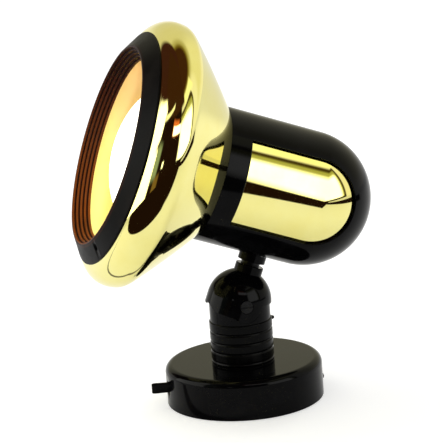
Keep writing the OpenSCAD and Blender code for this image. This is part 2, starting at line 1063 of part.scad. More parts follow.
module shade_screws() {
    color("silver")
        on_head()
            on_axis()
                shade_screw_places()
                    rotate_extrude()
                        union() {
                            translate([0, shade_back + shade_wall + slip])
                                square([shade_screw_head_r, 1.4]);
                            translate([0, shade_back - 5])
                                square([shade_screw_shank_r, 5 + shade_wall + 0.5]);
                        }
}

// Half section of the black ring with its stepped throat
module ring_outline() {
    step_r = (ring_front_r - ring_land - ring_hole_r) / ring_steps;
    first_r = ring_front_r - ring_land;
    steps = [for (i = [1 : ring_steps], j = [1, 0])
        [first_r - (i - j) * step_r, ring_front_a - i * ring_step_depth]];
    difference() {
        polygon(concat(
            [[ring_outer_r, lip_front - 2], [ring_outer_r, lip_front + ring_edge], [ring_front_r, ring_front_a],
                [first_r, ring_front_a]],
            steps,
            [[ring_hole_r, ring_back], [lip_flange_r - play, ring_back], [lip_flange_r - play, lip_front + seat],
                [lip_ring_r, lip_front + seat]]));
        translate([lip_ring_r, lip_a])
            circle(r = lip_r + seat);
    }
}

// Repeats children at each screw of the front ring
module ring_screw_places() {
    for (i = [0, 1])
        rotate([0, 0, 90 - ring_screw_angle + i * 180])
            translate([ring_screw_r, 0, 0])
                children();
}

module baffle_ring() {
    color([0.08, 0.08, 0.08])
        on_head()
            on_axis()
                difference() {
                    rotate_extrude()
                        ring_outline();
                    ring_screw_places() {
                        cylinder(r = ring_screw_shank_r + slip, h = reach);
                        translate([0, 0, lip_front + 1.6])
                            cylinder(r = ring_screw_head_r + play, h = reach);
                    }
                }
}

module ring_screws() {
    color("silver")
        on_head()
            on_axis()
                ring_screw_places()
                    difference() {
                        union() {
                            translate([0, 0, lip_front + 1.7])
                                cylinder(r = ring_screw_head_r, h = 1.4);
                            translate([0, 0, lip_front - 4])
                                cylinder(r = ring_screw_shank_r, h = 6);
                        }
                        translate([-ring_screw_head_r, -0.3, lip_front + 2.5])
                            cube([2 * ring_screw_head_r, 0.6, 2]);
                    }
}

// Half section of the reflector lamp, drawn in by a wall thickness. It swells from its neck through
// the shares of its radius and of its length in bulb_swell.
module bulb_outline(inset) {
    face_count = 12;
    neck_back = cap_front + seat + inset;
    neck_r = bulb_neck_r - inset;
    neck = [[0, neck_back], [neck_r, neck_back], [neck_r, cap_front + bulb_neck_len]];
    swell = [for (share = bulb_swell)
        [share[0] * bulb_r - inset, cap_front + share[1] * (bulb_wide - cap_front)]];
    face = [for (i = [0 : face_count - 1], turn = 90 * i / face_count)
        [(bulb_r - inset) * cos(turn), bulb_wide + (bulb_bulge - inset) * sin(turn)]];
    polygon(concat(neck, swell, face, [[0, bulb_front - inset]]));
}

module bulb_glass() {
    color([1, 0.97, 0.9])
        on_head()
            on_axis()
                difference() {
                    rotate_extrude()
                        bulb_outline(0);
                    rotate_extrude()
                        bulb_outline(bulb_wall);
                }
}

module bulb_cap() {
    thread_pitch = 3.6;
    thread_count = 5;
    color("silver")
        on_head()
            on_axis()
                rotate_extrude()
                    difference() {
                        translate([0, cap_back])
                            square([cap_r, cap_len]);
                        for (i = [0 : thread_count - 1])
                            translate([cap_r + 1.5, cap_back + 3.5 + i * thread_pitch])
                                circle(r = 2);
                        translate([0, cap_back + 2])
                            square([cap_r - 1.6, cap_len]);
                    }
}

module bulb_contact() {
    color("dimgray")
        on_head()
            on_axis()
                rotate_extrude()
                    polygon([[0, cap_back - tip_len], [4, cap_back - tip_len], [4, cap_back - tip_len + 1.2],
                        [cap_r - 3, cap_back - seat], [0, cap_back - seat]]);
}

wall_plate();
base_cover();
cover_screw();
terminal_block();
terminal_screws();
switch_body();
switch_tags();
pan_bush();
base_leads();
toggle_lever();
ribbed_sleeve();
pan_tube();
pan_nuts();
pan_spring_washer();
joint_cup();
sleeve_screw();
pivot_bolt();
pivot_nut();
friction_washers();
stem_leads();
joint_hood();
neck_collar();
neck_tube();
neck_nuts();
neck_saddle();
neck_boss();
housing();
inner_can();
holder_bracket();
holder_nipple();
nipple_nut();
lampholder();
holder_shell();
holder_contact();
head_leads();
shade();
shade_lip();
shade_screws();
baffle_ring();
ring_screws();
bulb_glass();
bulb_cap();
bulb_contact();
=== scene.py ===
"""Finished look of a wall spot lamp: canopy, ribbed stem, tilting hood, bullet head and flared brass shade."""
import logging
import math
from dataclasses import dataclass, field
from enum import Enum
from typing import Any, ClassVar, Sequence

import bmesh
import bpy
import numpy as np
from mathutils import Matrix, Vector


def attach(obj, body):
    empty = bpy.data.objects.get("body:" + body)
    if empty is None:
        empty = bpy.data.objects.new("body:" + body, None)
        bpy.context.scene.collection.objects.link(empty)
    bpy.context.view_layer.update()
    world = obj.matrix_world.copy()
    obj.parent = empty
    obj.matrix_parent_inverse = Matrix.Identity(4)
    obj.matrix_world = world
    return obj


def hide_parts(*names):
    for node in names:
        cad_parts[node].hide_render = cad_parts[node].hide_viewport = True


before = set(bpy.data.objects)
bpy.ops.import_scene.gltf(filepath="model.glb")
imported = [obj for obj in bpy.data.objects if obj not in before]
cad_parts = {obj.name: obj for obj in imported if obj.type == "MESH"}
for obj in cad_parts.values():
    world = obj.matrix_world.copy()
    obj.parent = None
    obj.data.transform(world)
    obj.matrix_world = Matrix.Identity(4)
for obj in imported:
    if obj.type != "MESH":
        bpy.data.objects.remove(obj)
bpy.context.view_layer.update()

LOG = logging.getLogger("wall_lamp")
MM = 0.001
TAU = 2 * math.pi

PIVOT_Z = 64.2
HEAD_TILT = math.radians(21.5)
HEAD_RISE = 73.8

ON_STEM = Matrix.Identity(4)
ON_HEAD = Matrix.Translation((0, 0, PIVOT_Z * MM)) @ Matrix.Rotation(-HEAD_TILT, 4, "X")
ON_AXIS = ON_HEAD @ Matrix.Translation((0, 0, HEAD_RISE * MM)) @ Matrix.Rotation(math.pi / 2, 4, "X")


class Body(Enum):
    """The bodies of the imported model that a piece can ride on."""

    BASE = "base"
    TOGGLE = "toggle"
    STEM = "stem"
    HEAD = "head"


class Turn(Enum):
    """Which way an arc runs in an outline."""

    LEFT = 1
    RIGHT = -1


# Node trees


class Value:
    """A socket whose arithmetic adds Math nodes to its tree."""

    def __init__(self, tree: "Tree", socket: bpy.types.NodeSocket) -> None:
        """Wraps a socket.

        Args:
            tree: The tree that the socket is in.
            socket: The output socket.
        """
        self.tree = tree
        self.socket = socket

    def _math(self, operation: str, first: Any, second: Any) -> "Value":
        """Adds one Math node.

        Args:
            operation: The node's operation.
            first: Its first input.
            second: Its second input.

        Returns:
            The result.
        """
        return self.tree.add("ShaderNodeMath", {"operation": operation}, {0: first, 1: second})

    def __add__(self, other: Any) -> "Value":
        """Adds."""
        return self._math("ADD", self, other)

    __radd__ = __add__

    def __sub__(self, other: Any) -> "Value":
        """Subtracts."""
        return self._math("SUBTRACT", self, other)

    def __rsub__(self, other: Any) -> "Value":
        """Subtracts from a number."""
        return self._math("SUBTRACT", other, self)

    def __mul__(self, other: Any) -> "Value":
        """Multiplies."""
        return self._math("MULTIPLY", self, other)

    __rmul__ = __mul__

    def __truediv__(self, other: Any) -> "Value":
        """Divides."""
        return self._math("DIVIDE", self, other)

    def __pow__(self, other: Any) -> "Value":
        """Raises to a power."""
        return self._math("POWER", self, other)

    def at_most(self, other: Any) -> "Value":
        """The smaller of the two."""
        return self._math("MINIMUM", self, other)

    def at_least(self, other: Any) -> "Value":
        """The larger of the two."""
        return self._math("MAXIMUM", self, other)

    def above(self, other: Any) -> "Value":
        """1 where this is greater."""
        return self._math("GREATER_THAN", self, other)

    def wave(self) -> "Value":
        """The sine."""
        return self._math("SINE", self, 0.0)

    def cowave(self) -> "Value":
        """The cosine."""
        return self._math("COSINE", self, 0.0)

    def size(self) -> "Value":
        """The absolute value."""
        return self._math("ABSOLUTE", self, 0.0)

    def whole(self) -> "Value":
        """The nearest whole number."""
        return self._math("ROUND", self, 0.0)

    def root(self) -> "Value":
        """The square root."""
        return self._math("SQRT", self, 0.0)

    def rise(self) -> "Value":
        """The angle whose sine this is, in degrees."""
        return self._math("ARCSINE", self, 0.0) * math.degrees(1.0)

    def bearing(self, ahead: "Value") -> "Value":
        """The angle whose tangent is this over ahead, in degrees."""
        return self._math("ARCTAN2", self, ahead) * math.degrees(1.0)

    def between(self, low: float, high: float, soft: float) -> "Value":
        """1 between two values, with soft ends.

        Args:
            low: The first value.
            high: The last value.
            soft: Half the width of each soft end.

        Returns:
            The share.
        """
        start = self.ramp(low - soft, low + soft)
        return start * self.ramp(high - soft, high + soft, 1.0, 0.0)

    def ramp(self, low: float, high: float, out_low: float = 0.0, out_high: float = 1.0) -> "Value":
        """Maps a range smoothly to another.

        Args:
            low: The value that gives out_low.
            high: The value that gives out_high.
            out_low: The first result.
            out_high: The last result.

        Returns:
            The mapped value.
        """
        return self.tree.add(
            "ShaderNodeMapRange",
            {"interpolation_type": "SMOOTHSTEP"},
            {"Value": self, "From Min": low, "From Max": high, "To Min": out_low, "To Max": out_high},
        )


class Tree:
    """A node tree that is filled by one method."""

    def __init__(self, nodes: bpy.types.NodeTree) -> None:
        """Starts on a node tree.

        Args:
            nodes: The tree to fill.
        """
        self.tree = nodes

    def node(
        self, kind: str, settings: dict[str, Any] | None = None, inputs: dict[Any, Any] | None = None
    ) -> bpy.types.Node:
        """Adds a node.

        Args:
            kind: The node's type.
            settings: What is set on it first; "stops" sets a ramp's stops.
            inputs: A value or link for each socket, by name or number.

        Returns:
            The node.
        """
        made = self.tree.nodes.new(kind)
        for name, value in (settings or {}).items():
            if name == "stops":
                self._stops(made, value)
            else:
                setattr(made, name, value)
        for name, value in (inputs or {}).items():
            socket = made.inputs[name]
            if isinstance(value, Value):
                self.tree.links.new(value.socket, socket)
            elif isinstance(value, bpy.types.NodeSocket):
                self.tree.links.new(value, socket)
            else:
                socket.default_value = value
        return made

    @staticmethod
    def _stops(made: bpy.types.Node, stops: Sequence[tuple[float, Sequence[float]]]) -> None:
        """Sets a colour ramp's stops.

        Args:
            made: The ramp node.
            stops: Place and colour of each stop.
        """
        elements = made.color_ramp.elements
        while len(elements) > 1:
            elements.remove(elements[-1])
        elements[0].position = stops[0][0]
        elements[0].color = (*stops[0][1], 1.0)
        for place, colour in stops[1:]:
            elements.new(place).color = (*colour, 1.0)

    def add(
        self, kind: str, settings: dict[str, Any] | None = None, inputs: dict[Any, Any] | None = None,
        output: Any = 0,
    ) -> Value:
        """Adds a node and gives one of its outputs.

        Args:
            kind: The node's type.
            settings: What is set on it first.
            inputs: A value or link for each socket.
            output: The output's name or number.

        Returns:
            The output.
        """
        return Value(self, self.node(kind, settings, inputs).outputs[output])

    def mix(self, factor: Any, first: Any, second: Any) -> Value:
        """Mixes two colours.

        Args:
            factor: The share of the second.
            first: The first colour.
            second: The second colour.

        Returns:
            The mixed colour.
        """
        return self.add("ShaderNodeMix", {"data_type": "RGBA"}, {0: factor, 6: first, 7: second}, 2)


def colour(red: float, green: float, blue: float) -> tuple[float, float, float, float]:
    """A colour with full alpha."""
    return (red, green, blue, 1.0)


# Finishes


class Finish:
    """A material that is built once and shared by its pieces."""

    label = "finish"
    made: ClassVar[dict[str, bpy.types.Material]] = {}

    def build(self, tree: Tree) -> dict[str, Any]:
        """Gives the surface shader's inputs."""
        raise NotImplementedError

    def material(self) -> bpy.types.Material:
        """Makes the material the first time, and gives the same one after that.

        Returns:
            The material.
        """
        if self.label in Finish.made:
            return Finish.made[self.label]
        made = bpy.data.materials.new(self.label)
        Finish.made[self.label] = made
        made.use_nodes = True
        made.node_tree.nodes.clear()
        tree = Tree(made.node_tree)
        surface = tree.node("ShaderNodeBsdfPrincipled", None, self.build(tree))
        tree.node("ShaderNodeOutputMaterial", None, {"Surface": surface.outputs[0]})
        return made

    @staticmethod
    def place(tree: Tree) -> Value:
        """The object coordinates, in metres."""
        return tree.add("ShaderNodeTexCoord", None, None, "Object")

    @staticmethod
    def noise(
        tree: Tree, scale: float, detail: float = 3.0, rough: float = 0.5, stretch: Sequence[float] | None = None
    ) -> Value:
        """Fractal noise on object coordinates.

        Args:
            tree: The material's tree.
            scale: Cells per metre.
            detail: Octaves.
            rough: How strong the fine octaves are.
            stretch: Scale along each axis.

        Returns:
            The noise, about 0.5 in the middle.
        """
        where = Finish.place(tree)
        if stretch:
            where = tree.add("ShaderNodeMapping", None, {"Vector": where, "Scale": tuple(stretch)})
        return tree.add(
            "ShaderNodeTexNoise", None, {"Vector": where, "Scale": scale, "Detail": detail, "Roughness": rough}
        )

    @staticmethod
    def from_axis(tree: Tree) -> tuple[Value, Value, Value]:
        """Place against the head's own axis, in mm.

        Args:
            tree: The material's tree.

        Returns:
            Distance from the axis, height above it, and distance ahead along it.
        """
        back = ON_AXIS.inverted()
        where = tree.add("ShaderNodeMapping", None, {
            "Vector": Finish.place(tree), "Location": tuple(back.translation), "Rotation": tuple(back.to_euler())})
        parts = tree.node("ShaderNodeSeparateXYZ", None, {0: where})
        side, up, ahead = (Value(tree, output) * (1 / MM) for output in parts.outputs)
        return (side * side + up * up).root(), up, ahead

    @staticmethod
    def bump(tree: Tree, height: Value, strength: float, distance: float) -> Value:
        """A bumped normal.

        Args:
            tree: The material's tree.
            height: The height.
            strength: How strong it is.
            distance: The height of 1, in metres.

        Returns:
            The normal.
        """
        return tree.add("ShaderNodeBump", None, {"Height": height, "Strength": strength, "Distance": distance})


@dataclass(frozen=True)
class Enamel(Finish):
    """Glossy stoved enamel: black, a little orange peel and faint handling marks."""

    label: str = "black_enamel"
    tone: tuple[float, float, float] = (0.0013, 0.0013, 0.0015)
    shine: float = 0.07

    def build(self, tree: Tree) -> dict[str, Any]:
        """Gives the surface shader's inputs.

        Args:
            tree: The material's tree.

        Returns:
            Inputs by name.
        """
        marks = self.noise(tree, 55.0, 5.0, 0.62)
        smear = self.noise(tree, 320.0, 2.0, 0.5, (1.0, 1.0, 0.18))
        peel = self.noise(tree, 900.0, 2.0, 0.5)
        worn = colour(*(2.6 * share for share in self.tone))
        rough = marks.ramp(0.45, 0.75, self.shine, self.shine + 0.08)
        return {
            "Base Color": tree.mix(marks.ramp(0.42, 0.7), colour(*self.tone), worn),
            "Roughness": rough + smear.ramp(0.55, 0.75) * 0.03,
            "Specular IOR Level": 0.07,
            "Normal": self.bump(tree, peel, 0.04, 0.0002),
        }


@dataclass(frozen=True)
class RibbedPlastic(Finish):
    """Black moulded plastic with a soft shine and faint cloudy dust."""

    label: str = "black_moulding"
    tone: tuple[float, float, float] = (0.002, 0.002, 0.002)

    def build(self, tree: Tree) -> dict[str, Any]:
        """Gives the surface shader's inputs.

        Args:
            tree: The material's tree.

        Returns:
            Inputs by name.
        """
        grain = self.noise(tree, 1400.0, 3.0, 0.6)
        dents = self.noise(tree, 210.0, 2.0, 0.5)
        cloud = self.noise(tree, 80.0, 3.0, 0.5)
        return {
            "Base Color": tree.mix(cloud.ramp(0.45, 0.75), colour(*self.tone), colour(0.005, 0.0048, 0.0045)),
            "Roughness": cloud.ramp(0.4, 0.7, 0.16, 0.26),
            "Specular IOR Level": 0.06,
            "Normal": self.bump(tree, grain + dents * 4.0, 0.12, 0.0001),
        }


@dataclass(frozen=True)
class Brass(Finish):
    """Brass sheet, polished bright and lacquered."""

    label: str = "bright_brass"
    pale: tuple[float, float, float] = (0.97, 0.9, 0.35)
    deep: tuple[float, float, float] = (0.95, 0.86, 0.29)
    shine: float = 0.03
    dented: float = 0.012

    def build(self, tree: Tree) -> dict[str, Any]:
        """Gives the surface shader's inputs.

        Args:
            tree: The material's tree.

        Returns:
            Inputs by name.
        """
        cloud = self.noise(tree, 28.0, 4.0, 0.6)
        pits = self.noise(tree, 1600.0, 2.0, 0.5)
        fine = self.noise(tree, 260.0, 4.0, 0.6)
        sheet = self.noise(tree, 34.0, 1.0, 0.4)
        speck = pits.ramp(0.68, 0.8)
        tone = tree.mix(cloud.ramp(0.35, 0.7), colour(*self.pale), colour(*self.deep))
        return {
            "Base Color": tree.mix(speck * 0.3, tone, colour(0.5, 0.36, 0.09)),
            "Metallic": 1.0,
            "Roughness": fine.ramp(0.35, 0.75, self.shine, self.shine + 0.025),
            "Normal": self.bump(tree, sheet + fine * 0.02, self.dented, 0.002),
        }


@dataclass(frozen=True)
class SatinBlack(Finish):
    """Satin black stove finish with a fine grain; where its throat faces the lamp it has painted lamplight, brown and
    darker towards the top, with painted shade in the step corners.
    """

    label: str = "satin_black"
    # Painted lamplight on the throat (lower and upper tone), and painted shade in the corners of its steps
    lamplit_brown: tuple[float, float, float] = (0.17, 0.042, 0.004)
    lamplit_brown_above: tuple[float, float, float] = (0.022, 0.0025, 0.001)
    crease_shade: tuple[float, float, float] = (0.012, 0.0015, 0.0005)
    lamp_side: float = 62.5
    outside: float = 65.5
    step_deep: float = 2.2
    step_wide: float = 1.275
    tip: float = 111.8

    def build(self, tree: Tree) -> dict[str, Any]:
        """Gives the surface shader's inputs.

        Args:
            tree: The material's tree.

        Returns:
            Inputs by name.
        """
        grain = self.noise(tree, 1500.0, 3.0, 0.6)
        cloud = self.noise(tree, 60.0, 4.0, 0.55)
        plain = tree.mix(cloud.ramp(0.4, 0.75), colour(0.002, 0.0017, 0.0016), colour(0.007, 0.0055, 0.0044))
        around, up, ahead = self.from_axis(tree)
        # Painted lamplight: inside lamp_side the throat is coloured brown, darker towards the top, as if lit by the
        # lamp
        lamp_facing = around.ramp(self.lamp_side, self.outside, 1.0, 0.0)
        brown = tree.mix(up.ramp(-50.0, 50.0), colour(*self.lamplit_brown), colour(*self.lamplit_brown_above))
        # Painted shade: darker lines in the corners of the steps
        along = (self.lamp_side - 0.2 - around) * (1 / self.step_wide) + (self.tip - ahead) * (1 / self.step_deep)
        crease_shade_share = (along * math.pi).cowave().ramp(-0.9, 0.4, 1.0, 0.0)
        brown = tree.mix(crease_shade_share, brown, colour(*self.crease_shade))
        return {
            "Base Color": tree.mix(lamp_facing * cloud.ramp(0.2, 0.6, 0.75, 1.0), plain, brown),
            "Roughness": cloud.ramp(0.35, 0.7, 0.4, 0.5),
            "Specular IOR Level": 0.06,
            "Normal": self.bump(tree, grain, 0.18, 0.00012),
        }


@dataclass(frozen=True)
class PlainMetal(Finish):
    """Bare metal of small fittings, with fine turning marks and a dull bloom."""

    label: str = "zinc_plate"
    tone: tuple[float, float, float] = (0.56, 0.56, 0.54)
    bloom: tuple[float, float, float] = (0.4, 0.41, 0.42)
    shine: float = 0.28

    def build(self, tree: Tree) -> dict[str, Any]:
        """Gives the surface shader's inputs.

        Args:
            tree: The material's tree.

        Returns:
            Inputs by name.
        """
        cloud = self.noise(tree, 160.0, 4.0, 0.6)
        lines = self.noise(tree, 400.0, 3.0, 0.6, (1.0, 1.0, 9.0))
        return {
            "Base Color": tree.mix(cloud.ramp(0.4, 0.7), colour(*self.tone), colour(*self.bloom)),
            "Metallic": 1.0,
            "Roughness": lines.ramp(0.3, 0.7, self.shine, self.shine + 0.14),
            "Normal": self.bump(tree, lines, 0.15, 0.0001),
        }


@dataclass(frozen=True)
class Moulding(Finish):
    """Plain moulded or fired parts, such as terminal block, bush, lampholder and lead sleeves."""

    label: str = "ivory_moulding"
    tone: tuple[float, float, float] = (0.62, 0.57, 0.44)
    stain: tuple[float, float, float] = (0.48, 0.41, 0.28)
    shine: float = 0.4

    def build(self, tree: Tree) -> dict[str, Any]:
        """Gives the surface shader's inputs.

        Args:
            tree: The material's tree.

        Returns:
            Inputs by name.
        """
        cloud = self.noise(tree, 120.0, 4.0, 0.6)
        grain = self.noise(tree, 1800.0, 2.0, 0.5)
        return {
            "Base Color": tree.mix(cloud.ramp(0.45, 0.75), colour(*self.tone), colour(*self.stain)),
            "Roughness": cloud.ramp(0.35, 0.7, self.shine, self.shine + 0.15),
            "Specular IOR Level": 0.45,
            "Normal": self.bump(tree, grain, 0.1, 0.00008),
        }


@dataclass(frozen=True)
class LitGlass(Finish):
    """The lit reflector lamp: a frosted face that glows, and a silvered back that glows little."""

    label: str = "lit_glass"
    glow: float = 2.8
    hot_below: float = 8.0

    def build(self, tree: Tree) -> dict[str, Any]:
        """Gives the surface shader's inputs.

        Args:
            tree: The material's tree.

        Returns:
            Inputs by name.
        """
        grain = self.noise(tree, 700.0, 2.0, 0.5)
        around, up, ahead = self.from_axis(tree)
        off_hot = (around * around + up * (2 * self.hot_below) + self.hot_below ** 2).root()
        face = tree.mix(off_hot.ramp(42.0, 53.0), colour(1.0, 0.95, 0.8), colour(0.14, 0.075, 0.02))
        return {
            "Base Color": tree.mix(grain, colour(0.5, 0.42, 0.3), colour(0.56, 0.47, 0.34)),
            "Roughness": grain.ramp(0.3, 0.7, 0.25, 0.35),
            "Emission Color": tree.mix(ahead.ramp(40.0, 70.0), colour(0.05, 0.025, 0.008), face),
            "Emission Strength": self.glow,
        }


@dataclass(frozen=True)
class SatinLining(Finish):
    """Soft reflecting coat inside the shade, a little dusty; its colour is painted lamplight, warm peach above and
    paler yellow below.
    """

    label: str = "satin_lining"
    # Painted lamplight tones, above and below
    above: tuple[float, float, float] = (0.9, 0.73, 0.47)
    below: tuple[float, float, float] = (0.94, 0.86, 0.4)

    def build(self, tree: Tree) -> dict[str, Any]:
        """Gives the surface shader's inputs.

        Args:
            tree: The material's tree.

        Returns:
            Inputs by name.
        """
        dust = self.noise(tree, 90.0, 4.0, 0.6)
        grain = self.noise(tree, 1300.0, 2.0, 0.5)
        up = self.from_axis(tree)[1]
        # Painted lamplight: warmer and darker above, paler yellow below
        tone = tree.mix(up.ramp(-30.0, 45.0), colour(*self.below), colour(*self.above))
        return {
            "Base Color": tree.mix(dust.ramp(0.5, 0.8, 0.0, 0.25), tone, colour(0.7, 0.5, 0.2)),
            "Metallic": dust.ramp(0.4, 0.7, 0.3, 0.2),
            "Roughness": dust.ramp(0.35, 0.7, 0.5, 0.62),
            "Normal": self.bump(tree, grain, 0.08, 0.0001),
        }


BLACK = Enamel()
STEM_BLACK = RibbedPlastic()
BRASS = Brass()
CAN_BRASS = Brass(label="can_brass", dented=0.008)
RING_BLACK = SatinBlack()
STEEL = PlainMetal()
FITTING_BRASS = PlainMetal("fitting_brass", (0.72, 0.53, 0.2), (0.55, 0.36, 0.12), 0.22)
DARK_SCREW = PlainMetal("blackened_screw", (0.02, 0.02, 0.02), (0.012, 0.012, 0.012), 0.3)
IVORY = Moulding()
CERAMIC = Moulding("white_ceramic", (0.75, 0.73, 0.67), (0.6, 0.57, 0.48), 0.15)
SLEEVE = Moulding("brown_sleeve", (0.12, 0.05, 0.02), (0.08, 0.03, 0.015), 0.5)
LAMP_CAP = PlainMetal("lamp_cap_metal", (0.7, 0.7, 0.69), (0.55, 0.55, 0.54), 0.2)
GLASS = LitGlass()
LINING = SatinLining()


# Outlines and turned meshes


@dataclass
class Outline:
    """Half section of a turned piece, in mm, with an exact normal at both ends of each stretch.

    It runs with the piece on its left, so the outside is on its right.
    """

    points: list[tuple[float, float]] = field(default_factory=list)
    normals: list[tuple[tuple[float, float], tuple[float, float]]] = field(default_factory=list)

    def line(self, r: float, z: float, steps: int = 1) -> "Outline":
        """Runs straight to a point.

        Args:
            r: Radius.
            z: Height.
            steps: Stretches that the line is cut into.

        Returns:
            The outline.
        """
        if not self.points:
            self.points.append((r, z))
            return self
        start = self.points[-1]
        length = math.hypot(r - start[0], z - start[1])
        if length < 1e-6:
            return self
        normal = ((z - start[1]) / length, -(r - start[0]) / length)
        for i in range(1, steps + 1):
            share = i / steps
            self.points.append((start[0] + (r - start[0]) * share, start[1] + (z - start[1]) * share))
            self.normals.append((normal, normal))
        return self

    def arc(self, centre: tuple[float, float], radius: float, start: float, end: float, steps: int) -> "Outline":
        """Runs along an arc, after a straight run to its start.

        Args:
            centre: The arc's centre.
            radius: Its radius.
            start: Its first angle in degrees.
            end: Its last angle in degrees; a smaller one turns right.
            steps: Stretches.

        Returns:
            The outline.
        """
        turn = Turn.LEFT if end > start else Turn.RIGHT
        angles = [math.radians(start + (end - start) * i / steps) for i in range(steps + 1)]
        spots = [(centre[0] + radius * math.cos(a), centre[1] + radius * math.sin(a)) for a in angles]
        self.line(*spots[0])
        outward = [(turn.value * math.cos(a), turn.value * math.sin(a)) for a in angles]
        for i in range(steps):
            self.points.append(spots[i + 1])
            self.normals.append((outward[i], outward[i + 1]))
        return self

    def swollen(
        self, centre: tuple[float, float], radius: float, angles: tuple[float, float], steps: int,
        peak: float, swell: float, reach: float
    ) -> "Outline":
        """Runs along an arc that stands proud round one place on it.

        Args:
            centre: The arc's centre.
            radius: Its radius.
            angles: Its first and last angle in degrees.
            steps: Stretches.
            peak: The angle where it stands most proud.
            swell: How far it stands proud there.
            reach: How far along the arc the swelling dies out.

        Returns:
            The outline.
        """
        side = (Turn.LEFT if angles[1] > angles[0] else Turn.RIGHT).value
        spots: list[tuple[float, float]] = []
        outward: list[tuple[float, float]] = []
        for i in range(steps + 1):
            a = math.radians(angles[0] + (angles[1] - angles[0]) * i / steps)
            away = max(-1.0, min(1.0, (a - math.radians(peak)) * radius / reach))
            stand = radius + swell * math.cos(math.pi / 2 * away) ** 2
            slope = -swell * math.pi / (2 * reach) * math.sin(math.pi * away)
            facing = a - math.atan(slope)
            spots.append((centre[0] + stand * math.cos(a), centre[1] + stand * math.sin(a)))
            outward.append((side * math.cos(facing), side * math.sin(facing)))
        self.line(*spots[0])
        for i in range(steps):
            self.points.append(spots[i + 1])
            self.normals.append((outward[i], outward[i + 1]))
        return self

    def corner(self, r: float, z: float, following: tuple[float, float], radius: float, steps: int = 5) -> "Outline":
        """Runs to a corner that is rounded towards the next point.

        Args:
            r: The corner's radius from the axis.
            z: Its height.
            following: The point after it.
            radius: Radius of the rounding.
            steps: Stretches of the rounding.

        Returns:
            The outline.
        """
        before = Vector(self.points[-1]) - Vector((r, z))
        after = Vector(following) - Vector((r, z))
        before.normalize()
        after.normalize()
        half = before.angle(after) / 2
        reach = radius / math.tan(half)
        middle = Vector((r, z)) + (before + after).normalized() * radius / math.sin(half)
        first = Vector((r, z)) + before * reach - middle
        last = Vector((r, z)) + after * reach - middle
        start = math.degrees(math.atan2(first.y, first.x))
        sweep = math.degrees(math.atan2(first.x * last.y - first.y * last.x, first.dot(last)))
        return self.arc((middle.x, middle.y), radius, start, start + sweep, steps)

    def close(self) -> "Outline":
        """Runs straight back to the start."""
        return self.line(*self.points[0])


def rounded(corners: Sequence[tuple[float, float, float]], steps: int = 5) -> Outline:
    """A closed outline with rounded corners.

    Args:
        corners: Radius, height and rounding of each corner; the first stays sharp.
        steps: Stretches of each rounding.

    Returns:
        The outline.
    """
    made = Outline().line(corners[0][0], corners[0][1])
    for here, following in zip(corners[1:], [*corners[2:], corners[0]]):
        if here[2] > 0:
            made.corner(here[0], here[1], (following[0], following[1]), here[2], steps)
        else:
            made.line(here[0], here[1])
    return made.close()


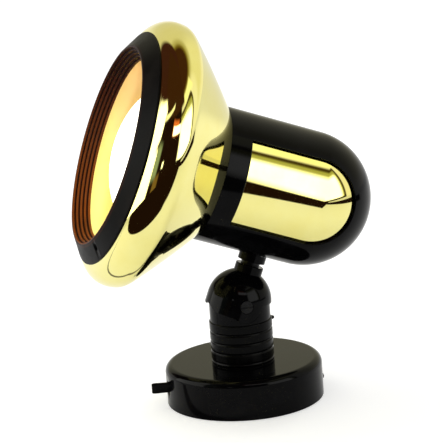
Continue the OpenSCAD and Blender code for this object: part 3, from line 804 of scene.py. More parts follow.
class Shapes:
    """Makes meshes from corner lists, with welded doubles and exact normals."""

    @staticmethod
    def mesh(
        name: str, spots: np.ndarray, faces: Sequence[Sequence[int]], normals: np.ndarray | None, place: Matrix
    ) -> bpy.types.Object:
        """Makes a placed object.

        Args:
            name: The object's name.
            spots: Vertices in mm.
            faces: Corner numbers of each face.
            normals: One normal for each face corner, or None.
            place: Where the piece's own axes lie, in metres.

        Returns:
            The object, at the origin.
        """
        keys = np.round(spots / 1e-4).astype(np.int64)
        _, first, new = np.unique(keys, axis=0, return_index=True, return_inverse=True)
        new = new.reshape(-1)
        turn = np.array(place.to_3x3())
        welded = (spots[first] * MM) @ turn.T + np.array(place.translation)
        kept: list[list[int]] = []
        loops: list[int] = []
        corner = 0
        for face in faces:
            ring: list[int] = []
            marks: list[int] = []
            for i, vertex in enumerate(face):
                if int(new[vertex]) not in ring:
                    ring.append(int(new[vertex]))
                    marks.append(corner + i)
            corner += len(face)
            if len(ring) > 2:
                kept.append(ring)
                loops.extend(marks)
        data = bpy.data.meshes.new(name)
        data.from_pydata(welded.tolist(), [], kept)
        data.polygons.foreach_set("use_smooth", [True] * len(kept))
        if normals is not None:
            data.normals_split_custom_set((normals[loops] @ turn.T).tolist())
        data.update()
        made = bpy.data.objects.new(name, data)
        bpy.context.scene.collection.objects.link(made)
        return made

    @staticmethod
    def turned(name: str, outline: Outline, place: Matrix = ON_STEM, around: int = 192) -> bpy.types.Object:
        """Turns an outline round its axis.

        Args:
            name: The object's name.
            outline: The half section.
            place: Where the axis lies.
            around: Faces round the axis.

        Returns:
            The object.
        """
        angles = np.arange(around) * TAU / around
        cos, sin = np.cos(angles), np.sin(angles)
        points = np.array(outline.points)
        spots = np.stack(
            [points[:, :1] * cos, points[:, :1] * sin, np.repeat(points[:, 1:], around, 1)], -1
        ).reshape(-1, 3)
        faces: list[list[int]] = []
        normals: list[np.ndarray] = []
        nexts = (np.arange(around) + 1) % around
        for i, (first, last) in enumerate(outline.normals):
            low, high = i * around, (i + 1) * around
            quads = np.stack([low + np.arange(around), low + nexts, high + nexts, high + np.arange(around)], 1)
            faces.extend(quads.tolist())
            for_first = np.stack([first[0] * cos, first[0] * sin, np.full(around, first[1])], 1)
            for_last = np.stack([last[0] * cos, last[0] * sin, np.full(around, last[1])], 1)
            normals.append(np.stack([for_first, for_first[nexts], for_last[nexts], for_last], 1).reshape(-1, 3))
        return Shapes.mesh(name, spots, faces, np.concatenate(normals), place)

    @staticmethod
    def grid(
        name: str, rows: Sequence[np.ndarray], closed: bool, place: Matrix, sharp: float = 40.0, caps: bool = True
    ) -> bpy.types.Object:
        """Skins a list of equal closed rows of points.

        Args:
            name: The object's name.
            rows: Points of each row, in mm.
            closed: Whether the last row joins the first.
            place: Where the piece lies.
            sharp: Edges above this angle in degrees stay sharp.
            caps: Whether the end rows are filled.

        Returns:
            The object.
        """
        count = len(rows[0])
        spots = np.concatenate(rows)
        faces: list[list[int]] = []
        last = len(rows) if closed else len(rows) - 1
        for i in range(last):
            low, high = i * count, ((i + 1) % len(rows)) * count
            for k in range(count):
                n = (k + 1) % count
                faces.append([low + k, low + n, high + n, high + k])
        if caps and not closed:
            faces.append(list(range(count))[::-1])
            faces.append([(len(rows) - 1) * count + k for k in range(count)])
        made = Shapes.mesh(name, spots, faces, None, place)
        Shapes.face_outwards(made)
        made.data.set_sharp_from_angle(angle=math.radians(sharp))
        return made

    @staticmethod
    def face_outwards(piece: bpy.types.Object) -> None:
        """Turns the faces of a closed piece outwards.

        Args:
            piece: The piece.
        """
        work = bmesh.new()
        work.from_mesh(piece.data)
        bmesh.ops.recalc_face_normals(work, faces=work.faces)
        work.to_mesh(piece.data)
        work.free()

    @staticmethod
    def cut(piece: bpy.types.Object, cutter: bpy.types.Object) -> None:
        """Takes a cutter's shape out of a piece, and removes the cutter.

        Args:
            piece: The piece.
            cutter: The cutter.
        """
        step = piece.modifiers.new("cut", "BOOLEAN")
        step.operation = "DIFFERENCE"
        step.solver = "EXACT"
        step.object = cutter
        Shapes.baked(piece)
        piece.data.name = piece.name
        bpy.data.objects.remove(cutter)

    @staticmethod
    def baked(piece: bpy.types.Object) -> bpy.types.Object:
        """Replaces a piece's mesh by what its modifiers make of it.

        Args:
            piece: The piece.

        Returns:
            The piece, without modifiers.
        """
        depsgraph = bpy.context.evaluated_depsgraph_get()
        result = bpy.data.meshes.new_from_object(piece.evaluated_get(depsgraph), depsgraph=depsgraph)
        piece.modifiers.clear()
        piece.data = result
        return piece


@dataclass(frozen=True)
class Ball:
    """A sphere that part of a carried surface lies on."""

    centre: tuple[float, float, float]
    radius: float

    def normals(self, spots: np.ndarray) -> tuple[np.ndarray, np.ndarray]:
        """Distance from the surface, and outward direction, at each point.

        Args:
            spots: Points in mm.

        Returns:
            Distances and unit directions.
        """
        out = spots - np.array(self.centre)
        length = np.linalg.norm(out, axis=1)
        return np.abs(length - self.radius), out / np.maximum(length, 1e-9)[:, None]


@dataclass(frozen=True)
class Rod:
    """A cylinder that part of a carried surface lies on."""

    point: tuple[float, float, float]
    axis: tuple[float, float, float]
    radius: float

    def normals(self, spots: np.ndarray) -> tuple[np.ndarray, np.ndarray]:
        """Distance from the surface, and outward direction, at each point.

        Args:
            spots: Points in mm.

        Returns:
            Distances and unit directions.
        """
        axis = np.array(self.axis)
        out = spots - np.array(self.point)
        out = out - np.outer(out @ axis, axis)
        length = np.linalg.norm(out, axis=1)
        return np.abs(length - self.radius), out / np.maximum(length, 1e-9)[:, None]


def carried(node: str, surfaces: Sequence[Ball | Rod], place: Matrix, tolerance: float = 0.05) -> bpy.types.Object:
    """Copies a CAD node's shape, with the exact normals of its round surfaces.

    Args:
        node: The node.
        surfaces: The round surfaces, in the piece's own axes, in mm.
        place: Where those axes lie.
        tolerance: How near a vertex has to be, in mm.

    Returns:
        The new piece.
    """
    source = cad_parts[node].data
    spots = np.zeros(len(source.vertices) * 3)
    source.vertices.foreach_get("co", spots)
    spots = spots.reshape(-1, 3)
    faces = np.array([tuple(p.vertices) for p in source.polygons])
    back = np.array(place.inverted())
    local = (spots @ back[:3, :3].T + back[:3, 3]) / MM
    corners = local[faces]
    flat = np.cross(corners[:, 1] - corners[:, 0], corners[:, 2] - corners[:, 0])
    flat /= np.maximum(np.linalg.norm(flat, axis=1), 1e-12)[:, None]
    normals = np.repeat(flat[:, None], 3, 1)
    for surface in surfaces:
        gap, out = surface.normals(local)
        near = (gap[faces] < tolerance).all(1)
        lean = np.einsum("fi,fci->fc", flat, out[faces])
        fits = near & (np.abs(lean) > 0.8).all(1)
        normals[fits] = (out[faces] * np.sign(lean)[..., None])[fits]
    return Shapes.mesh(f"{node}_finished", local, faces.tolist(), normals.reshape(-1, 3), place)


# Geometry Nodes


class GeometryTree(Tree):
    """A Geometry Nodes tree that starts from nothing and ends in real, painted faces."""

    def __init__(self, name: str, sizes: dict[str, float]) -> None:
        """Makes the tree with a named input for each size.

        Args:
            name: The tree's name.
            sizes: The inputs, with their first values.
        """
        super().__init__(bpy.data.node_groups.new(name, "GeometryNodeTree"))
        sides = self.tree.interface
        sides.new_socket("Geometry", in_out="OUTPUT", socket_type="NodeSocketGeometry")
        for label, value in sizes.items():
            kind = "NodeSocketInt" if isinstance(value, int) else "NodeSocketFloat"
            sides.new_socket(label, in_out="INPUT", socket_type=kind).default_value = value
        self.sizes = dict(sizes)
        self.given = self.tree.nodes.new("NodeGroupInput")

    def size(self, label: str) -> Value:
        """One of the inputs."""
        return Value(self, self.given.outputs[label])

    def vector(self, x: Any, y: Any, z: Any) -> Value:
        """Joins three numbers."""
        return self.add("ShaderNodeCombineXYZ", None, {0: x, 1: y, 2: z})

    def end(self, geometry: Value, finish: Finish) -> None:
        """Closes the tree.

        Args:
            geometry: What it makes.
            finish: Its material.
        """
        real = self.add("GeometryNodeRealizeInstances", None, {"Geometry": geometry})
        painted = self.add("GeometryNodeSetMaterial", None, {"Geometry": real, "Material": finish.material()})
        self.tree.links.new(painted.socket, self.tree.nodes.new("NodeGroupOutput").inputs[0])

    def piece(self, name: str, place: Matrix) -> bpy.types.Object:
        """Runs the tree and keeps its result as a plain mesh.

        Args:
            name: The new piece's name.
            place: Where it lies.

        Returns:
            The piece.
        """
        made = bpy.data.objects.new(name, bpy.data.meshes.new(name))
        bpy.context.scene.collection.objects.link(made)
        modifier = made.modifiers.new("tree", "NODES")
        modifier.node_group = self.tree
        for item in self.tree.interface.items_tree:
            if item.in_out == "INPUT":
                modifier[item.identifier] = self.sizes[item.name]
        Shapes.baked(made)
        made.data.name = name
        made.data.transform(place)
        return made


@dataclass(frozen=True)
class Screws:
    """Equal slotted screws with crowned heads, on a circle round a piece's axis; sizes in mm."""

    label: str
    finish: Finish
    count: int
    circle: float
    start: float
    head: float
    crown: float
    seat: float
    shank: float
    length: float
    slot: float
    depth: float

    def tree(self) -> GeometryTree:
        """The tree that makes them.

        Returns:
            The tree.
        """
        tree = GeometryTree(self.label, {
            "Count": self.count, "Circle Radius": self.circle * MM, "Start Angle": math.radians(self.start),
            "Head Radius": self.head * MM, "Head Height": self.crown * MM, "Seat Height": self.seat * MM,
            "Shank Radius": self.shank * MM, "Shank Length": self.length * MM,
            "Slot Width": self.slot * MM, "Slot Depth": self.depth * MM,
        })
        size = tree.size
        ball = tree.add("GeometryNodeMeshUVSphere", None, {
            "Segments": 40, "Rings": 24, "Radius": size("Head Radius")})
        flat = tree.vector(1.0, 1.0, size("Head Height") / size("Head Radius"))
        ball = tree.add("GeometryNodeTransform", None, {"Geometry": ball, "Scale": flat})
        wide = size("Head Radius") * 3.0
        under = self._block(tree, tree.vector(wide, wide, size("Head Height") * 2.0), size("Head Height") * -1.0)
        slit = tree.vector(size("Slot Width"), wide, size("Slot Depth") * 2.0)
        head = self._without(tree, self._without(tree, ball, under), self._block(tree, slit, size("Head Height")))
        stub = tree.add("GeometryNodeMeshCylinder", None, {
            "Vertices": 28, "Radius": size("Shank Radius"), "Depth": size("Shank Length")})
        stub = tree.add("GeometryNodeSetPosition", None, {
            "Geometry": stub, "Offset": tree.vector(0.0, 0.0, size("Shank Length") * -0.5 + 0.00002)})
        screw = tree.node("GeometryNodeJoinGeometry")
        for part in (head, stub):
            tree.tree.links.new(part.socket, screw.inputs[0])
        number = tree.add("GeometryNodeInputIndex")
        angle = number * TAU / size("Count") + size("Start Angle")
        spot = tree.vector(
            angle.cowave() * size("Circle Radius"), angle.wave() * size("Circle Radius"), size("Seat Height"))
        spots = tree.add("GeometryNodePoints", None, {"Count": size("Count"), "Position": spot, "Radius": 0.001})
        set_in = tree.add("GeometryNodeInstanceOnPoints", None, {
            "Points": spots, "Instance": screw.outputs[0], "Rotation": tree.vector(0.0, 0.0, number * 2.1 + 0.7)})
        tree.end(set_in, self.finish)
        return tree

    @staticmethod
    def _block(tree: GeometryTree, size: Value, height: Value) -> Value:
        """A block at a height, to cut with."""
        block = tree.add("GeometryNodeMeshCube", None, {"Size": size})
        return tree.add("GeometryNodeSetPosition", None, {"Geometry": block, "Offset": tree.vector(0.0, 0.0, height)})

    @staticmethod
    def _without(tree: GeometryTree, whole: Value, cut: Value) -> Value:
        """A solid less another."""
        settings = {"operation": "DIFFERENCE", "solver": "FLOAT"}
        return tree.add("GeometryNodeMeshBoolean", settings, {"Mesh 1": whole, "Mesh 2": cut})

    def piece(self, name: str, place: Matrix) -> bpy.types.Object:
        """Makes the screws.

        Args:
            name: The piece's name.
            place: Where their axis lies.

        Returns:
            The piece.
        """
        made = self.tree().piece(name, place)
        made.data.set_sharp_from_angle(angle=math.radians(35))
        return made


def settle(
    piece: bpy.types.Object, body: Body, finish: Finish, replaced: Sequence[str] = ()
) -> bpy.types.Object:
    """Paints a piece, lets it ride, and hides the CAD nodes that it stands for.

    Args:
        piece: The piece.
        body: What it rides on.
        finish: Its finish.
        replaced: CAD nodes that it stands for.

    Returns:
        The piece.
    """
    piece.data.materials.clear()
    piece.data.materials.append(finish.material())
    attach(piece, body.value)
    if replaced:
        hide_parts(*replaced)
    LOG.info("%s: %d faces on %s", piece.name, len(piece.data.polygons), body.value)
    return piece


def dress(finish: Finish, *nodes: str) -> None:
    """Gives carried-over CAD nodes a finish.

    Args:
        finish: The finish.
        nodes: The nodes' names.
    """
    for name in nodes:
        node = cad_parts[name]
        node.data.materials.clear()
        node.data.materials.append(finish.material())
        LOG.info("%s keeps its CAD shape", name)


# Sub-assemblies


@dataclass
class Canopy:
    """The round black canopy with its plate, switch, wiring and side screw."""

    radius: float = 50.0
    height: float = 25.5
    edge: float = 4.7
    wall: float = 2.2
    top: float = 2.5
    bush_hole: float = 8.05
    slot_half: float = 3.28
    slot_low: float = 8.7
    slot_high: float = 16.9
    screw_z: float = 6.5
    toggle_y: float = -41.5
    toggle_z: float = 12.8
    toggle_swing: float = 10.0

    def cover(self) -> bpy.types.Object:
        """The cover: turned, with a rounded edge, a slot for the toggle and a hole for the screw.

        Returns:
            The cover.
        """
        ceiling = self.height - self.top
        inner = self.radius - self.wall
        shape = Outline().line(inner, 0.0).line(self.radius - 0.4, 0.0)
        shape.arc((self.radius - 0.4, 0.4), 0.4, -90, 0, 4)
        shape.line(self.radius, self.height - self.edge, 4)
        shape.arc((self.radius - self.edge, self.height - self.edge), self.edge, 0, 90, 16)
        shape.line(self.bush_hole + 0.3, self.height, 3)
        shape.arc((self.bush_hole + 0.3, self.height - 0.3), 0.3, 90, 180, 3)
        shape.line(self.bush_hole, ceiling)
        inner_edge = self.edge - self.wall / 2
        shape.line(inner - inner_edge, ceiling)
        shape.arc((inner - inner_edge, ceiling - inner_edge), inner_edge, 90, 0, 8)
        shape.close()
        cover = Shapes.turned("canopy_cover", shape, ON_STEM, 240)
        for spots in (self._slot_corners(), self._hole_rim()):
            Shapes.cut(cover, Shapes.grid("cutter", spots, False, ON_STEM))
        return cover

    def _slot_corners(self) -> list[np.ndarray]:
        """Rows of the cutter for the toggle's slot, with round corners."""
        rows = []
        for y in (-self.radius - 3, -self.radius + self.wall + 1):
            row = []
            for cx, cz, start in (
                (self.slot_half - 0.8, self.slot_high - 0.8, 0), (-self.slot_half + 0.8, self.slot_high - 0.8, 90),
                (-self.slot_half + 0.8, self.slot_low + 0.8, 180), (self.slot_half - 0.8, self.slot_low + 0.8, 270),
            ):
                for i in range(5):
                    a = math.radians(start + 22.5 * i)
                    row.append((cx + 0.8 * math.cos(a), y, cz + 0.8 * math.sin(a)))
            rows.append(np.array(row))
        return rows

    def _hole_rim(self) -> list[np.ndarray]:
        """Rows of the cutter for the screw's hole."""
        rows = []
        for y in (self.radius - self.wall - 2, self.radius + 2):
            angles = [TAU * i / 24 for i in range(24)]
            rows.append(np.array([(1.6 * math.cos(a), y, self.screw_z + 1.6 * math.sin(a)) for a in angles]))
        return rows

    def lever(self) -> bpy.types.Object:
        """The toggle: a flat bat with round edges that grows a little towards its tip.

        Returns:
            The toggle.
        """
        rows = []
        length = self.radius + 10.4 + self.toggle_y
        stations = [0.0, 0.3, 0.55, 0.75, 0.88, 0.95, 0.985, 1.0]
        for share in stations:
            rise = 3.1 + 0.3 * share
            thick = 1.3
            nose = 1.0 if share < 0.88 else math.sqrt(max(0.0, 1 - ((share - 0.88) / 0.12) ** 2)) * 0.45 + 0.55
            rows.append(self._bat_row(share * length, thick * nose, rise - (1 - nose) * 1.3))
        blade = Shapes.grid("toggle_blade", rows, False, ON_STEM, 50.0)
        whole = Outline().line(0, -6.0).line(1.0, -6.0).line(1.0, -3.6)
        whole.corner(3.2, -3.6, (3.2, 3.6), 0.4).corner(3.2, 3.6, (1, 3.6), 0.4)
        whole.line(1.0, 3.6).line(1.0, 6.0).line(0, 6.0)
        swing = Matrix.Translation((0, self.toggle_y * MM, self.toggle_z * MM)) @ Matrix.Rotation(
            math.radians(-self.toggle_swing), 4, "Z")
        pin = Shapes.turned("toggle_pin", whole, ON_STEM, 48)
        blade.data.transform(swing)
        pin.data.transform(swing)
        return join("toggle", [blade, pin])

    def _bat_row(self, reach: float, thick: float, rise: float) -> np.ndarray:
        """One rounded cross section of the toggle.

        Args:
            reach: How far out it lies, mm.
            thick: Half thickness, mm.
            rise: Half height, mm.

        Returns:
            The points.
        """
        row = []
        for i in range(32):
            a = TAU * i / 32
            c, s = math.cos(a), math.sin(a)
            row.append((
                thick * math.copysign(abs(c) ** 0.45, c), -reach, rise * math.copysign(abs(s) ** 0.3, s)))
        return np.array(row)

    def build(self) -> None:
        """Makes and dresses the canopy."""
        settle(self.cover(), Body.BASE, BLACK, ["base_cover"])
        settle(self.lever(), Body.TOGGLE, STEM_BLACK, ["toggle_lever"])
        screw = Screws("canopy_screw", DARK_SCREW, 1, 0.0, 0.0, 2.5, 2.4, 0.0, 1.5, 7.0, 0.8, 0.9)
        spot = Matrix.Translation((0, (self.radius + 0.1) * MM, self.screw_z * MM))
        side = spot @ Matrix.Rotation(-math.pi / 2, 4, "X")
        settle(screw.piece("canopy_screw", side), Body.BASE, DARK_SCREW, ["cover_screw"])
        dress(STEEL, "wall_plate")
        dress(IVORY, "terminal_block", "switch_body", "pan_bush")
        dress(FITTING_BRASS, "terminal_screws", "switch_tags")
        dress(SLEEVE, "base_leads")


@dataclass
class Stem:
    """The ribbed sleeve that turns on the canopy, the joint cup in it, and their fittings."""

    radius: float = 20.0
    foot: float = 25.8
    length: float = 26.4
    pitch: float = 6.3
    groove: float = 0.5
    groove_width: float = 2.0
    bore: float = 17.0
    floor: float = 4.0
    tube: float = 5.05
    cup: float = 19.3

    def sleeve_tree(self) -> GeometryTree:
        """The tree of the ribbed sleeve: a grid rolled round the axis, its radius dipping at each groove.

        Returns:
            The tree.
        """
        tree = GeometryTree("ribbed_sleeve", {
            "Radius": self.radius * MM, "Foot": self.foot * MM, "Length": self.length * MM,
            "Rib Pitch": self.pitch * MM, "Groove Depth": self.groove * MM, "Groove Width": self.groove_width * MM,
            "Bore": self.bore * MM, "Floor": self.floor * MM, "Tube": self.tube * MM,
            "Around": 193, "Along": 401,
        })
        size = tree.size
        sheet = tree.add("GeometryNodeMeshGrid", None, {
            "Size X": 1.0, "Size Y": 1.0, "Vertices X": size("Around"), "Vertices Y": size("Along")})
        spot = tree.node("ShaderNodeSeparateXYZ", None, {0: tree.add("GeometryNodeInputPosition")})
        turn = (Value(tree, spot.outputs[0]) + 0.5) * TAU
        run = Value(tree, spot.outputs[1]) + 0.5
        up = self._share(run, 0.08, 0.82)
        drop = (1.0 - up) * size("Length")
        off = (drop / size("Rib Pitch") - (drop / size("Rib Pitch")).whole().at_least(1.0)).size() * size("Rib Pitch")
        dip = (1.0 - (off / (size("Groove Width") * 0.5)) ** 2.0).at_least(0.0) * size("Groove Depth")
        lip = (1.0 - (drop / 0.0006)).at_least(0.0) ** 2.0 * 0.0005
        heel = (1.0 - ((size("Length") - drop) / 0.0004)).at_least(0.0) ** 2.0 * 0.0003
        outer = size("Radius") - dip - lip - heel
        foot_in = self._share(run, 0.0, 0.08)
        head_in = self._share(run, 0.82, 0.87)
        bore_down = self._share(run, 0.87, 0.94)
        floor_in = self._share(run, 0.94, 0.98)
        tube_down = self._share(run, 0.98, 1.0)
        step = run.above(0.08)
        far = run.above(0.82)
        start = size("Tube") + (size("Radius") - 0.0003 - size("Tube")) * foot_in
        inward = size("Radius") - 0.0005 - (size("Radius") - 0.0005 - size("Bore")) * head_in
        inward = inward - (size("Bore") - size("Tube")) * floor_in
        radius = start * (1.0 - step) + outer * step * (1.0 - far) + inward * far
        height = size("Length") * up - (size("Length") - size("Floor")) * bore_down - size("Floor") * tube_down
        place = tree.add("ShaderNodeCombineXYZ", None, {
            0: radius * turn.cowave(), 1: radius * turn.wave(), 2: height + size("Foot")})
        rolled = tree.add("GeometryNodeSetPosition", None, {"Geometry": sheet, "Position": place})
        rolled = tree.add("GeometryNodeMergeByDistance", None, {"Geometry": rolled, "Distance": 0.000005})
        rolled = tree.add("GeometryNodeSetShadeSmooth", None, {"Geometry": rolled})
        tree.end(rolled, STEM_BLACK)
        return tree

    @staticmethod
    def _share(run: Value, low: float, high: float) -> Value:
        """How far a run is between two of its stations, from 0 to 1."""
        return ((run - low) / (high - low)).at_least(0.0).at_most(1.0)

    def build(self) -> None:
        """Makes and dresses the stem."""
        sleeve = self.sleeve_tree().piece("ribbed_sleeve_finished", ON_STEM)
        Shapes.face_outwards(sleeve)
        sleeve.data.set_sharp_from_angle(angle=math.radians(50))
        settle(sleeve, Body.STEM, STEM_BLACK, ["ribbed_sleeve"])
        pivot = (0.0, 0.0, PIVOT_Z)
        across = (1.0, 0.0, 0.0)
        upright = (0.0, 0.0, 1.0)
        cup = carried("joint_cup", [
            Ball(pivot, self.cup), Rod(pivot, upright, self.cup), Rod(pivot, upright, 14.0),
            Rod(pivot, upright, self.bore - 0.2), Rod(pivot, across, 10.6), Rod(pivot, across, 2.55),
        ], ON_STEM)
        settle(cup, Body.STEM, BLACK, ["joint_cup"])
        nub = Outline().line(0, 14.5).line(1.2, 14.5).line(1.2, 20.1).line(1.5, 20.1)
        nub.corner(1.5, 20.5, (0.75, 22.1), 0.2, 3).corner(0.75, 22.1, (0, 22.1), 0.3, 4).line(0, 22.1)
        rear = Matrix.Translation((0, 0, 0.0499)) @ Matrix.Rotation(-math.pi / 2, 4, "X")
        screw = Shapes.turned("sleeve_screw_finished", nub, rear, 48)
        settle(screw, Body.STEM, DARK_SCREW, ["sleeve_screw"])
        dress(FITTING_BRASS, "pan_tube")
        dress(STEEL, "pan_nuts", "pan_spring_washer", "friction_washers", "pivot_nut")
        dress(DARK_SCREW, "pivot_bolt")
        dress(SLEEVE, "stem_leads")


@dataclass
class TiltingNeck:
    """The domed hood that tilts on the stem, and the neck above it."""

    outer: float = 20.6
    inner: float = 19.9
    ear: float = 10.2
    collar: float = 9.0
    collar_low: float = 16.6
    collar_top: float = 23.8
    waist: float = 6.0
    boss: float = 8.8
    boss_low: float = 26.4
    tube: float = 5.05

    def build(self) -> None:
        """Makes and dresses the hood and neck."""
        centre = (0.0, 0.0, 0.0)
        across = (1.0, 0.0, 0.0)
        upright = (0.0, 0.0, 1.0)
        hood = carried("joint_hood", [
            Ball(centre, self.outer), Ball(centre, self.inner), Rod(centre, upright, self.outer),
            Rod(centre, upright, self.inner), Rod(centre, across, self.ear), Rod(centre, upright, 9.0),
            Rod(centre, upright, self.tube), Rod((0.0, 0.0, -25.3), (0.0, 1.0, 0.0), 20.0),
            Rod(centre, across, 4.3), Rod(centre, across, 2.6),
        ], ON_HEAD)
        settle(hood, Body.HEAD, BLACK, ["joint_hood"])
        seat = self.outer + 0.1
        reach = math.degrees(math.acos(self.collar / seat))
        collar = Outline().line(self.tube, math.sqrt(seat ** 2 - self.tube ** 2))
        collar.arc((0, 0), seat, math.degrees(math.acos(self.tube / seat)), reach, 6)
        collar.corner(self.collar, self.collar_top, (self.tube, self.collar_top), 0.5)
        collar.line(self.tube, self.collar_top).close()
        settle(Shapes.turned("neck_collar_finished", collar, ON_HEAD, 96), Body.HEAD, BLACK, ["neck_collar"])
        axis = (0.0, 0.0, HEAD_RISE)
        boss = carried("neck_boss", [
            Rod(centre, upright, self.boss), Rod(centre, upright, self.tube), Rod(axis, (0.0, 1.0, 0.0), 43.0)], ON_HEAD)
        settle(boss, Body.HEAD, BLACK, ["neck_boss"])
        tube = carried("neck_tube", [
            Rod(centre, upright, 5.0), Rod(centre, upright, self.waist), Rod(centre, upright, 3.8)], ON_HEAD)
        settle(tube, Body.HEAD, DARK_SCREW, ["neck_tube"])
        dress(STEEL, "neck_nuts", "neck_saddle", "holder_bracket", "nipple_nut", "shade_screws")
        dress(FITTING_BRASS, "holder_nipple", "holder_shell", "holder_contact")
        dress(CERAMIC, "lampholder")
        dress(SLEEVE, "head_leads")


@dataclass
class Housing:
    """The black bullet with a large rounded window in each side, and the brass can inside it."""

    radius: float = 42.89
    wall: float = 1.49
    front: float = 45.1
    back: float = -20.6
    window_front: float = 31.3
    window_back: float = -16.3
    window_half: float = 26.5
    window_lift: float = 3.3
    rim: float = 1.0
    can_radius: float = 41.1
    can_wall: float = 0.8
    can_mouth: float = 35.5
    can_flange: float = 0.8

    def _window(self) -> tuple[np.ndarray, np.ndarray]:
        """The window's outline and the body's outline, point for point, seen from the side.

        Returns:
            Points of the window and of the body, each ahead and up in mm.
        """
        top, low = self.window_lift + self.window_half, self.window_lift - self.window_half
        inside: list[tuple[float, float]] = []
        outside: list[tuple[float, float]] = []
        for i in range(36):
            share = i / 36
            inside.append((self.window_front + (self.window_back - self.window_front) * share, top))
            outside.append((self.front + (self.back - self.front) * share, self.radius))
        for i in range(96):
            a = math.radians(90 + 180 * i / 96)
            inside.append((
                self.window_back + self.window_half * math.cos(a),
                self.window_lift + self.window_half * math.sin(a)))
            outside.append((self.back + self.radius * math.cos(a), self.radius * math.sin(a)))
        for i in range(36):
            share = i / 36
            inside.append((self.window_back + (self.window_front - self.window_back) * share, low))
            outside.append((self.back + (self.front - self.back) * share, -self.radius))
        for i in range(48):
            share = i / 48
            inside.append((self.window_front, low + (top - low) * share))
            outside.append((self.front, self.radius * math.sin(math.radians(-90 + 180 * share))))
        return np.array(inside), np.array(outside)

    def _lift(self, spots: np.ndarray, radius: float) -> tuple[np.ndarray, np.ndarray]:
        """Raises side-view points onto the bullet.

        Args:
            spots: Ahead and up in mm.
            radius: The bullet's radius.

        Returns:
            How far each lies from the middle plane, and the outward direction (side, up, ahead).
        """
        ahead = np.minimum(spots[:, 0] - self.back, 0.0)
        away = np.hypot(ahead, spots[:, 1])
        height = np.sqrt(np.maximum(radius ** 2 - away ** 2, 0.0))
        normal = np.stack([height, spots[:, 1], ahead], 1)
        return height, normal / np.linalg.norm(normal, axis=1)[:, None]

    def shell(self) -> bpy.types.Object:
        """The housing: both sides skinned outwards from their windows, which have rolled rims.

        Returns:
            The housing.
        """
        inside, outside = self._window()
        count = len(inside)
        along = np.roll(inside, -1, 0) - np.roll(inside, 1, 0)
        along /= np.linalg.norm(along, axis=1)[:, None]
        out = np.stack([along[:, 1], -along[:, 0]], 1)
        out *= np.sign(np.einsum("ij,ij->i", out, inside - np.array([7.5, self.window_lift])))[:, None]
        rows: list[np.ndarray] = []
        normals: list[np.ndarray] = []
        wall_normal = np.stack([np.zeros(count), -out[:, 1], -out[:, 0]], 1)
        inner_radius = self.radius - self.wall

        def keep(spots: np.ndarray, height: np.ndarray, normal: np.ndarray) -> None:
            """Keeps one row of points (side, up, ahead) and its normals."""
            rows.append(np.stack([height, spots[:, 1], spots[:, 0]], 1))
            normals.append(normal)

        thin = inner_radius / self.radius
        inner_edge = outside * np.array([1.0, thin])
        behind = outside[:, 0] < self.back
        inner_edge[:, 0] = np.where(behind, self.back + (outside[:, 0] - self.back) * thin, outside[:, 0])
        for share in np.linspace(1.0, 0.0, 14):
            spots = self._between(inside, inner_edge, share, inner_radius)
            height, normal = self._lift(spots, inner_radius)
            keep(spots, height, -normal)
        deep = self._lift(inside, inner_radius)[0]
        crest = self._lift(inside, self.radius)[0] - self.rim
        keep(inside, deep, wall_normal)
        keep(inside, np.maximum(crest, deep), wall_normal)
        for i in range(1, 8):
            a = math.radians(90 - 90 * i / 7)
            spots = inside + out * self.rim * (1 - math.sin(a))
            height, normal = self._lift(spots, self.radius)
            blend = normal * math.cos(a) + wall_normal * math.sin(a)
            keep(spots, height - self.rim * (1 - math.cos(a)), blend / np.linalg.norm(blend, axis=1)[:, None])
        start = inside + out * self.rim
        for share in np.linspace(0.0, 1.0, 30)[1:]:
            spots = self._between(start, outside, share, self.radius)
            height, normal = self._lift(spots, self.radius)
            keep(spots, height, normal)
        return self._both_sides(rows, normals, outside[:, 0] >= self.front - 1e-6)

    def _between(self, first: np.ndarray, last: np.ndarray, share: float, radius: float) -> np.ndarray:
        """Points between the window and the body's edge, evenly spread over the bullet's curve.

        Args:
            first: Points at the window.
            last: Points at the edge.
            share: 0 at the window, 1 at the edge.
            radius: The bullet's radius.

        Returns:
            The points, ahead and up.
        """
        def away(spots: np.ndarray) -> np.ndarray:
            """Angle of each point's normal from sideways."""
            ahead = np.minimum(spots[:, 0] - self.back, 0.0)
            return np.arcsin(np.clip(np.hypot(ahead, spots[:, 1]) / radius, 0, 1))

        low, high = away(first), away(last)
        want = radius * np.sin(low + (high - low) * share)
        start = radius * np.sin(low)
        end = radius * np.sin(high)
        far = np.abs(end - start) > 4.0
        portion = np.where(far, (want - start) / np.where(far, end - start, 1.0), share)
        return first + (last - first) * np.clip(portion, 0, 1)[:, None]

    def _both_sides(self, rows: list[np.ndarray], normals: list[np.ndarray], at_front: np.ndarray) -> bpy.types.Object:
        """Joins the rows of one side with their mirror image.

        Args:
            rows: Points of each row, from the inner edge to the outer edge.
            normals: Their normals.
            at_front: Which points lie on the front edge.

        Returns:
            The housing.
        """
        count, last = len(rows[0]), len(rows) - 1
        spots = np.concatenate(rows)
        faces: list[list[int]] = []
        corner_normals: list[np.ndarray] = []
        ahead = np.array([0.0, 0.0, 1.0])
        for side in (1, 0):
            flip = np.array([1.0 if side else -1.0, 1.0, 1.0])
            base = 0 if side else len(spots)

            def put(corners: list[tuple[int, int]], given: np.ndarray | None = None) -> None:
                """Keeps one face of this side."""
                order = corners[::-1] if side else corners
                faces.append([base + row * count + k for row, k in order])
                for row, k in order:
                    corner_normals.append((normals[row][k] if given is None else given) * flip)

